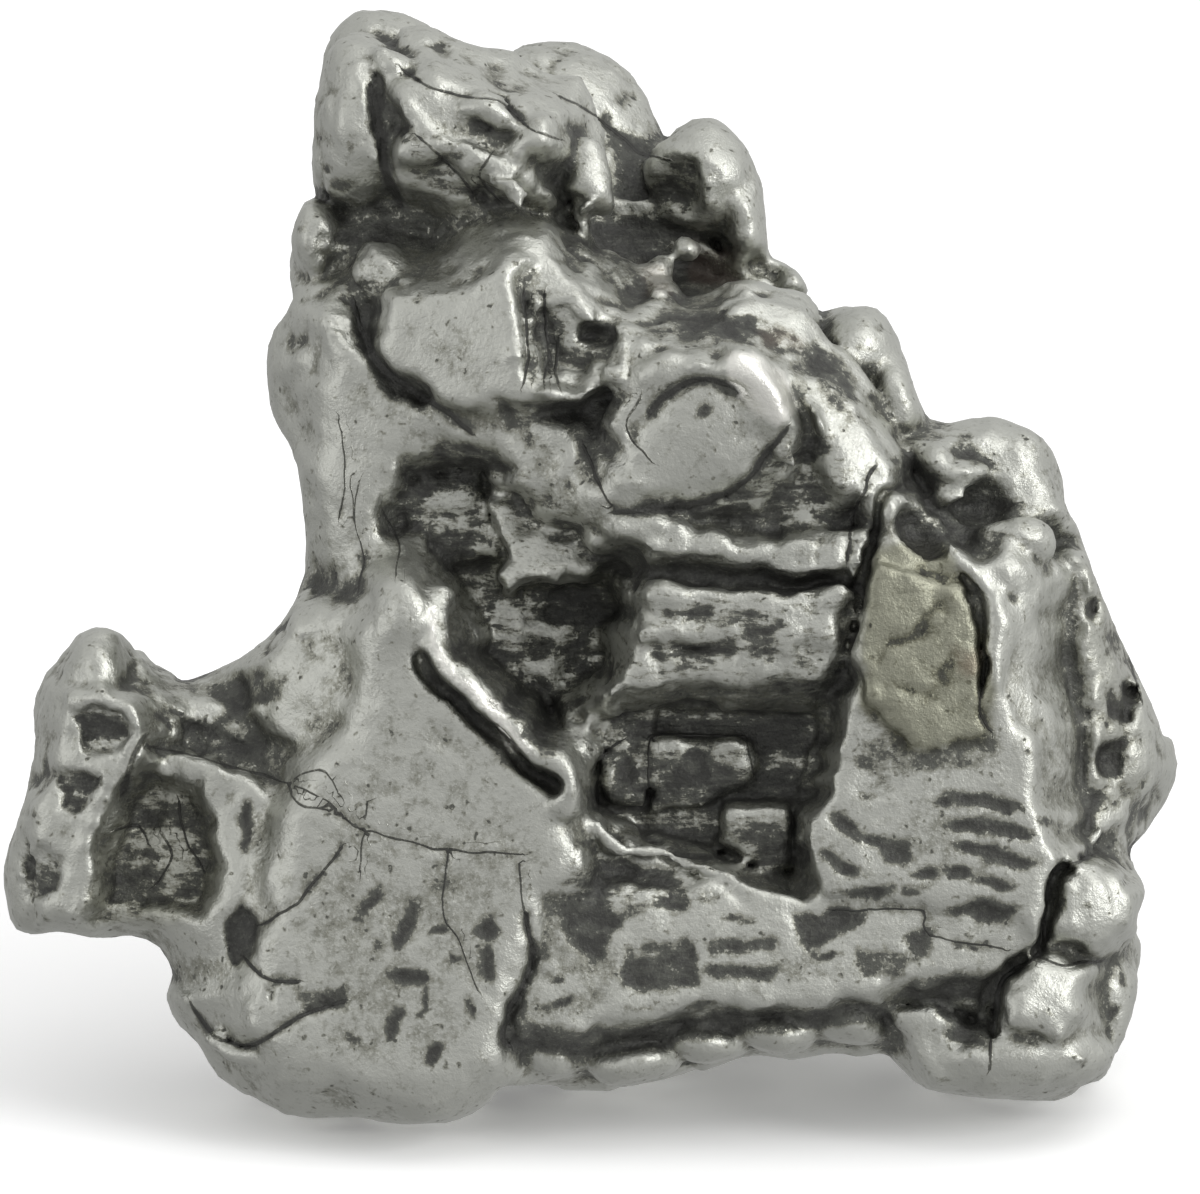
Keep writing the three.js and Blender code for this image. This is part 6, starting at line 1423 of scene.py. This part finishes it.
def makeTumbledIron():
    look = tumbledIron
    material = bpy.data.materials.new("tumbled_iron_nickel")
    material.use_nodes = True
    tree = material.node_tree
    shader = tree.nodes["Principled BSDF"]
    place = addNode(tree, "ShaderNodeTexCoord").outputs["Object"]
    patinaAndPaintedShade = addNode(tree, "ShaderNodeAttribute", attribute_name="patinaAndPaintedShade").outputs["Fac"]
    tan = addNode(tree, "ShaderNodeAttribute", attribute_name="tanStain").outputs["Fac"]
    red = addNode(tree, "ShaderNodeAttribute", attribute_name="redStain").outputs["Fac"]
    grain = addNode(tree, "ShaderNodeTexNoise",
                    {"Scale": look["grain"], "Detail": 4.0, "Roughness": 0.75},
                    {"Vector": place}).outputs["Fac"]
    broken = addNode(tree, "ShaderNodeMapRange",
                     {"From Min": look["grainRange"][0], "From Max": look["grainRange"][1],
                      "To Min": -look["broken"], "To Max": look["broken"]}, {"Value": grain})
    poreNoise = addNode(tree, "ShaderNodeTexNoise", {"Scale": look["pore"], "Detail": 1.0},
                        {"Vector": place})
    pores = addNode(tree, "ShaderNodeMapRange",
                    {"From Min": look["poreRange"][0], "From Max": look["poreRange"][1],
                     "To Max": look["poreDark"]},
                    {"Value": poreNoise.outputs["Fac"]}).outputs["Result"]
    torn = addNode(tree, "ShaderNodeAttribute", attribute_name="torn").outputs["Fac"]
    flattened = addNode(tree, "ShaderNodeVectorMath", {1: look["streakFlat"]}, {0: place},
                        operation="MULTIPLY")
    streakNoise = addNode(tree, "ShaderNodeTexNoise",
                          {"Scale": look["streak"], "Detail": 5.0, "Roughness": 0.65},
                          {"Vector": flattened.outputs[0]}).outputs["Fac"]
    streaks = addNode(tree, "ShaderNodeMapRange",
                      {"From Min": look["streakRange"][0], "From Max": look["streakRange"][1],
                       "To Min": look["streakDark"], "To Max": -look["streakDark"]},
                      {"Value": streakNoise})
    layers = addNode(tree, "ShaderNodeMath", None, {0: streaks.outputs[0], 1: torn},
                     operation="MULTIPLY")
    fleckNoise = addNode(tree, "ShaderNodeTexNoise", {"Scale": look["fleck"], "Detail": 2.0},
                         {"Vector": place})
    flecks = addNode(tree, "ShaderNodeMapRange",
                     {"From Min": look["fleckRange"][0], "From Max": look["fleckRange"][1],
                      "To Max": look["fleckBright"]},
                     {"Value": fleckNoise.outputs["Fac"]}).outputs["Result"]
    stained = addNode(tree, "ShaderNodeMath", None, {0: patinaAndPaintedShade, 1: broken.outputs[0]},
                      operation="ADD").outputs[0]
    layered = addNode(tree, "ShaderNodeMath", None, {0: stained, 1: layers.outputs[0]},
                      operation="ADD").outputs[0]
    flecked = addNode(tree, "ShaderNodeMath", None, {0: layered, 1: flecks},
                      operation="SUBTRACT").outputs[0]
    carried = addNode(tree, "ShaderNodeAttribute", attribute_name="crackSide").outputs["Fac"]
    near = addNode(tree, "ShaderNodeAttribute", attribute_name="crackNear").outputs["Fac"]
    sided = addNode(tree, "ShaderNodeMapRange",
                    {"To Min": -relief["crackReach"], "To Max": relief["crackReach"]},
                    {"Value": carried}).outputs["Result"]
    off = addNode(tree, "ShaderNodeMath", None, {0: sided}, operation="ABSOLUTE").outputs[0]
    wander = addNode(tree, "ShaderNodeMath", None, {0: off, 1: grain}, operation="ADD").outputs[0]
    line = addNode(tree, "ShaderNodeMapRange",
                   {"From Min": look["crackRange"][0], "From Max": look["crackRange"][1],
                    "To Min": 1.0, "To Max": 0.0}, {"Value": wander}).outputs["Result"]
    cracked = addNode(tree, "ShaderNodeMath", None, {0: line, 1: near},
                      operation="MULTIPLY").outputs[0]
    mottled = addNode(tree, "ShaderNodeMath", {1: look["crackLine"]}, {0: cracked, 2: flecked},
                      operation="MULTIPLY_ADD").outputs[0]
    uneven = addNode(tree, "ShaderNodeMath", None, {0: mottled, 1: pores}, operation="ADD",
                     use_clamp=True).outputs[0]
    ramp = addNode(tree, "ShaderNodeValToRGB", None, {"Fac": uneven})
    stops = ramp.color_ramp.elements
    stops[0].position = 0.05
    stops[0].color = linearColour(look["polished"])
    stops[1].position = 1.0
    stops[1].color = linearColour(look["deep"])
    for position, colour in ((look["edge"] - 0.09, "worn"), (look["edge"] + 0.07, "patinaAndPaintedShade")):
        stops.new(position).color = linearColour(look[colour])
    # rubbed crowns: the colour is mixed toward a painted highlight, lighter than the polished metal
    rubbedAndPaintedHighlight = addNode(tree, "ShaderNodeAttribute", attribute_name="rubbedAndPaintedHighlight").outputs["Fac"]
    highlighted = addNode(tree, "ShaderNodeMix", {7: linearColour(look["paintedHighlight"])},
                         {0: rubbedAndPaintedHighlight, 6: ramp.outputs["Color"]}, data_type="RGBA")
    tinted = addNode(tree, "ShaderNodeMix", {7: linearColour(look["tan"])},
                     {0: tan, 6: highlighted.outputs[2]}, data_type="RGBA", blend_type="MULTIPLY")
    rusted = addNode(tree, "ShaderNodeMix", {7: linearColour(look["red"])},
                     {0: red, 6: tinted.outputs[2]}, data_type="RGBA")
    tree.links.new(rusted.outputs[2], shader.inputs["Base Color"])
    covered = addNode(tree, "ShaderNodeMapRange",
                      {"From Min": look["edge"] - 0.1, "From Max": look["edge"] + 0.1},
                      {"Value": uneven}).outputs["Result"]
    dull = addNode(tree, "ShaderNodeMapRange",
                   {"To Min": look["polishedRoughness"], "To Max": look["patinaRoughness"]},
                   {"Value": covered})
    glossy = addNode(tree, "ShaderNodeMix", {3: look["brightRoughness"]},
                     {0: rubbedAndPaintedHighlight, 2: dull.outputs["Result"]})
    tree.links.new(glossy.outputs[0], shader.inputs["Roughness"])
    bare = addNode(tree, "ShaderNodeMapRange", {"To Min": 1.0, "To Max": look["patinaMetal"]},
                   {"Value": covered})
    tree.links.new(bare.outputs["Result"], shader.inputs["Metallic"])
    marks = addNode(tree, "ShaderNodeTexNoise",
                    {"Scale": look["scratch"], "Detail": 2.0, "Roughness": 0.6},
                    {"Vector": place}).outputs["Fac"]
    dents = addNode(tree, "ShaderNodeMath", {1: look["dents"]}, {0: grain},
                    operation="MULTIPLY").outputs[0]
    stepped = addNode(tree, "ShaderNodeMath", {1: look["marks"]}, {0: marks, 2: dents},
                      operation="MULTIPLY_ADD").outputs[0]
    crumbs = addNode(tree, "ShaderNodeTexNoise",
                     {"Scale": look["crust"], "Detail": 3.0, "Roughness": 0.6},
                     {"Vector": place}).outputs["Fac"]
    crust = addNode(tree, "ShaderNodeMath", {1: look["crustHeight"]}, {0: crumbs},
                    operation="MULTIPLY").outputs[0]
    crusted = addNode(tree, "ShaderNodeMath", None, {0: crust, 1: covered},
                      operation="MULTIPLY").outputs[0]
    snapped = addNode(tree, "ShaderNodeMath", {1: look["streakStep"]}, {0: streakNoise},
                      operation="SNAP").outputs[0]
    ledges = addNode(tree, "ShaderNodeMath", {1: look["streakHeight"]}, {0: snapped},
                     operation="MULTIPLY").outputs[0]
    tornLedges = addNode(tree, "ShaderNodeMath", None, {0: ledges, 1: torn},
                         operation="MULTIPLY").outputs[0]
    split = addNode(tree, "ShaderNodeMath", {1: -look["crackDepth"]}, {0: cracked, 2: stepped},
                    operation="MULTIPLY_ADD").outputs[0]
    marked = addNode(tree, "ShaderNodeMath", None, {0: split, 1: tornLedges},
                     operation="ADD").outputs[0]
    sunk = addNode(tree, "ShaderNodeMath", None, {0: marked, 1: covered},
                   operation="SUBTRACT").outputs[0]
    skinHeight = addNode(tree, "ShaderNodeMath", None, {0: sunk, 1: crusted},
                         operation="ADD").outputs[0]
    bump = addNode(tree, "ShaderNodeBump",
                   {"Strength": look["bump"], "Distance": look["bumpHeight"]},
                   {"Height": skinHeight})
    tree.links.new(bump.outputs["Normal"], shader.inputs["Normal"])
    return material


ironNickel = makeTumbledIron()

# fine relief of the worn skin, as a tree that follows the surface
skin = {
    "Grain Size": 0.0005,
    "Grain Height": 0.00003,
    "Pit Size": 0.0012,
    "Pit Depth": 0.00005,
    "Calm Height": 0.0004,    # close to the table the skin stays as flat as it is worn
}


def makeSkinTree(material):
    tree = bpy.data.node_groups.new("worn_skin", "GeometryNodeTree")
    tree.interface.new_socket("Geometry", in_out="INPUT", socket_type="NodeSocketGeometry")
    for name in skin:
        tree.interface.new_socket(name, in_out="INPUT", socket_type="NodeSocketFloat")
    tree.interface.new_socket("Geometry", in_out="OUTPUT", socket_type="NodeSocketGeometry")
    given = addNode(tree, "NodeGroupInput").outputs
    place = addNode(tree, "GeometryNodeInputPosition").outputs[0]
    normal = addNode(tree, "GeometryNodeInputNormal").outputs[0]
    fineScale = addNode(tree, "ShaderNodeMath", {0: 1.0}, {1: given["Grain Size"]},
                        operation="DIVIDE")
    pitScale = addNode(tree, "ShaderNodeMath", {0: 1.0}, {1: given["Pit Size"]}, operation="DIVIDE")
    fine = addNode(tree, "ShaderNodeTexNoise", {"Detail": 2.0},
                   {"Vector": place, "Scale": fineScale.outputs[0]}).outputs["Fac"]
    pits = addNode(tree, "ShaderNodeTexNoise", {"Detail": 1.0},
                   {"Vector": place, "Scale": pitScale.outputs[0]}).outputs["Fac"]
    rise = addNode(tree, "ShaderNodeMapRange", {"From Min": 0.25, "From Max": 0.75, "To Min": -1.0,
                                                "To Max": 1.0}, {"Value": fine}).outputs["Result"]
    risen = addNode(tree, "ShaderNodeMath", None, {0: rise, 1: given["Grain Height"]},
                    operation="MULTIPLY")
    sunk = addNode(tree, "ShaderNodeMapRange", {"From Min": 0.62, "From Max": 0.74},
                   {"Value": pits}, interpolation_type="SMOOTHSTEP").outputs["Result"]
    depth = addNode(tree, "ShaderNodeMath", None, {0: sunk, 1: given["Pit Depth"]},
                    operation="MULTIPLY")
    total = addNode(tree, "ShaderNodeMath", None, {0: risen.outputs[0], 1: depth.outputs[0]},
                    operation="SUBTRACT").outputs[0]
    height = addNode(tree, "ShaderNodeSeparateXYZ", None, {0: place}).outputs["Z"]
    calm = addNode(tree, "ShaderNodeMapRange", None,
                   {"Value": height, "From Max": given["Calm Height"]})
    amount = addNode(tree, "ShaderNodeMath", None, {0: total, 1: calm.outputs["Result"]},
                     operation="MULTIPLY")
    offset = addNode(tree, "ShaderNodeVectorMath", None, {0: normal, "Scale": amount.outputs[0]},
                     operation="SCALE").outputs[0]
    moved = addNode(tree, "GeometryNodeSetPosition", None,
                    {"Geometry": given["Geometry"], "Offset": offset})
    whole = addNode(tree, "GeometryNodeRealizeInstances", None, {"Geometry": moved.outputs[0]})
    coated = addNode(tree, "GeometryNodeSetMaterial", {"Material": material},
                     {"Geometry": whole.outputs[0]})
    addNode(tree, "NodeGroupOutput", None, {"Geometry": coated.outputs[0]})
    return tree


skinTree = makeSkinTree(ironNickel)
rawTriangles = 2 * len(quads)
if rawTriangles > mass["triangles"]:   # the back is thinned first: the front keeps its fine marks
    isBack = points[:, 2] < middleDepth(points[:, 0], points[:, 1])[0] + mass["backFrom"]
    raw.vertex_groups.new(name="back").add(np.nonzero(isBack)[0].tolist(), 1.0, "REPLACE")
    backThinning = raw.modifiers.new("back_thinning", "DECIMATE")
    backThinning.ratio = 1 - (1 - mass["backKept"]) * float(isBack.mean())
    backThinning.vertex_group = "back"
    thinning = raw.modifiers.new("thinning", "DECIMATE")
    thinning.ratio = min(mass["triangles"] / (rawTriangles * backThinning.ratio), 1)
    print("behind:", int(isBack.sum()), "of", len(points))
    print("shares kept:", round(backThinning.ratio, 3), round(thinning.ratio, 3))
follow = raw.modifiers.new("worn_skin", "NODES")
follow.node_group = skinTree
for item in skinTree.interface.items_tree:
    if item.in_out == "INPUT" and item.name in skin:
        follow[item.identifier] = skin[item.name]
depsgraph = bpy.context.evaluated_depsgraph_get()
bodyMesh = bpy.data.meshes.new_from_object(raw.evaluated_get(depsgraph))
raw.modifiers.clear()
bpy.data.objects.remove(raw)
bodyMesh.name = "fragment_body"
body = bpy.data.objects.new("fragment_body", bodyMesh)
bpy.context.scene.collection.objects.link(body)
places = np.empty(len(bodyMesh.vertices) * 3, np.float32)
bodyMesh.vertices.foreach_get("co", places)
places = places.reshape(-1, 3)
print("fragment:", len(places), "points", len(bodyMesh.polygons), "faces")

# how closely the mass surrounds each point, near and far: creases are above 0, edges below
wear = {
    "scales": ((0.3, 0.09, 0.34), (0.9, 0.14, 0.22), (2.6, 0.18, 0.05)),   # reach, full value, weight
    "plain": 0.14,            # patina left on an open, level place
    "creaseMost": 0.42,
    "rubbedAndPaintedHighlight": 0.7,            # share of it that is rubbed off the smooth places
    "drawn": 0.85,            # how much the drawn dark patches add
    "back": 0.16,             # the back was tumbled less
    "backTorn": 0.35,
    "mottle": 0.22,
    "mottleSize": 3.2,
}
right, down, out = facePlaces(places)
occupied = (space.values < 0).astype(np.float32)
lowCorner = [axis[0] for axis in space.axes]
crease = np.zeros(len(places), np.float32)
for reach, full, weight in wear["scales"]:
    surrounded = sampled(boxBlur(occupied, reach / mass["cell"]), lowCorner, mass["cell"],
                         (right, down, out))
    crease += weight * np.clip((surrounded - 0.5) / full, -1, 1.3)
level = middleDepth(right, down)[0]
frontShare = smoothStep(relief["frontFrom"], relief["frontFull"], out - level)
marked = {name: sampled(maps[name], mapOrigin, relief["mapStep"], (right, down)) * frontShare
          for name in ("dark", "tan", "red", "smooth", "flaky", "rubbedAndPaintedHighlight", "crackNear")}
crackSide = sampled(maps["crackSide"], mapOrigin, relief["mapStep"], (right, down))
crease *= 1 - wear["rubbedAndPaintedHighlight"] * marked["smooth"]
patinaAndPaintedShade = wear["plain"] + np.minimum(crease, wear["creaseMost"])
# the drawn dark patches are mostly patina; a few paint shade under the brow, the nose, the plates and
# the slab, and dark below nothing lightens the crowns toward a painted highlight
patinaAndPaintedShade += wear["drawn"] * marked["dark"] + wear["back"] * (1 - frontShare)
patinaAndPaintedShade += wear["mottle"] * (layeredNoise(right, down, out, wear["mottleSize"], 3,
                                         noiseShift["mottle"]) - 0.5) * 2
patinaAndPaintedShade += relief["wrinkleDark"] * wrinkles(right, down, out) * (1 - marked["smooth"])
print("front share of the points:", round(float((out > level).mean()), 3))
attributes = {"patinaAndPaintedShade": patinaAndPaintedShade, "tanStain": marked["tan"], "redStain": marked["red"],
              "torn": np.maximum(marked["flaky"], wear["backTorn"] * (1 - frontShare)),
              "rubbedAndPaintedHighlight": marked["rubbedAndPaintedHighlight"], "crackNear": marked["crackNear"],
              "crackSide": 0.5 + crackSide / (2 * relief["crackReach"])}
for name, values in attributes.items():
    attribute = bodyMesh.attributes.new(name, "FLOAT", "POINT")
    attribute.data.foreach_set("value", np.clip(values, 0, 1).astype(np.float32))
bodyMesh.polygons.foreach_set("use_smooth", np.ones(len(bodyMesh.polygons), bool))
print("patina: mean", round(float(np.clip(patinaAndPaintedShade, 0, 1).mean()), 3))

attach(body, "root")
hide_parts("fragment")

floorMesh = bpy.data.meshes.new("floor")
halfFloor = 0.5   # metres
floorCorners = [(a * halfFloor, b * halfFloor, 0) for a, b in ((-1, -1), (1, -1), (1, 1), (-1, 1))]
floorMesh.from_pydata(floorCorners, [], [(0, 1, 2, 3)])
paper = bpy.data.materials.new("pale_paper")
paper.use_nodes = True
sheet = paper.node_tree.nodes["Principled BSDF"].inputs
sheet["Base Color"].default_value = linearColour("fbfbfb")
sheet["Roughness"].default_value = 0.9
sheet["Emission Color"].default_value = (1, 1, 1, 1)
floorMesh.materials.append(paper)
floor = bpy.data.objects.new("floor", floorMesh)
floor.visible_glossy = False   # the undersides mirror the dim table below the tent, not the sheet
bpy.context.scene.collection.objects.link(floor)

studio = {
    "softboxes": (            # name, place, size, watts; each aims at the fragment
        ("overhead", (0.25, -0.05, 0.55), 0.40, 0.6),
        ("right", (0.48, -0.30, 0.32), 0.25, 1.2),
        ("left", (-0.55, -0.20, 0.20), 0.40, 0.4),
    ),
    "toward": (0.45, -0.25, 0.75),   # the tent is brightest on this side
    "tentBright": 0.98,
    "tentDark": 0.40,
    "opening": (0, -0.97, 0.26),    # where the camera looks in, the tent is open and dark
    "openingShade": 0.20,
    "floorGlow": 0.18,        # lifts the sheet to the white of the photograph
}
sheet["Emission Strength"].default_value = studio["floorGlow"]
for name, place, size, watts in studio["softboxes"]:
    light = bpy.data.lights.new(name, "AREA")
    light.size = size
    light.energy = watts
    lamp = bpy.data.objects.new(name, light)
    lamp.location = place
    lamp.rotation_euler = (Vector((0, 0, 0.015)) - Vector(place)).to_track_quat("-Z",
                                                                                "Y").to_euler()
    bpy.context.scene.collection.objects.link(lamp)

world = bpy.data.worlds.new("studio")
bpy.context.scene.world = world
world.use_nodes = True
sky = world.node_tree
sky.nodes["Background"].inputs["Color"].default_value = (1, 1, 1, 1)
toward = addNode(sky, "ShaderNodeTexCoord").outputs["Generated"]
brightSide = Vector(studio["toward"]).normalized()
lit = addNode(sky, "ShaderNodeVectorMath", {1: brightSide}, {0: toward},
              operation="DOT_PRODUCT").outputs["Value"]
shade = addNode(sky, "ShaderNodeMapRange", {"From Min": -1.0, "To Min": studio["tentDark"],
                                            "To Max": studio["tentBright"]}, {"Value": lit})
inFront = addNode(sky, "ShaderNodeVectorMath", {1: studio["opening"]}, {0: toward},
                  operation="DOT_PRODUCT")
gap = addNode(sky, "ShaderNodeMapRange",
              {"From Min": 0.2, "From Max": 1.0, "To Max": studio["openingShade"]},
              {"Value": inFront.outputs["Value"]})
tent = addNode(sky, "ShaderNodeMath", None, {0: shade.outputs["Result"], 1: gap.outputs["Result"]},
               operation="SUBTRACT")
sky.links.new(tent.outputs[0], sky.nodes["Background"].inputs["Strength"])

view = {
    "distance": 0.65,
    "across": 0.036,          # width of the picture at the fragment
    "centre": (18.0, 17.91, 0.0),   # middle of the picture: right, down, out
}
camera = bpy.data.cameras.new("camera")
camera.sensor_width = 36
camera.lens = camera.sensor_width * view["distance"] / view["across"]
camera.clip_end = 10
eye = bpy.data.objects.new("camera", camera)
target = Vector(standing(np.array([view["centre"]]))[0])
eye.location = target + view["distance"] * Vector((0, -math.cos(lean), math.sin(lean)))
eye.rotation_euler = (math.radians(90) - lean, 0, 0)
bpy.context.scene.collection.objects.link(eye)
bpy.context.scene.camera = eye
bpy.context.scene.view_settings.view_transform = "Standard"
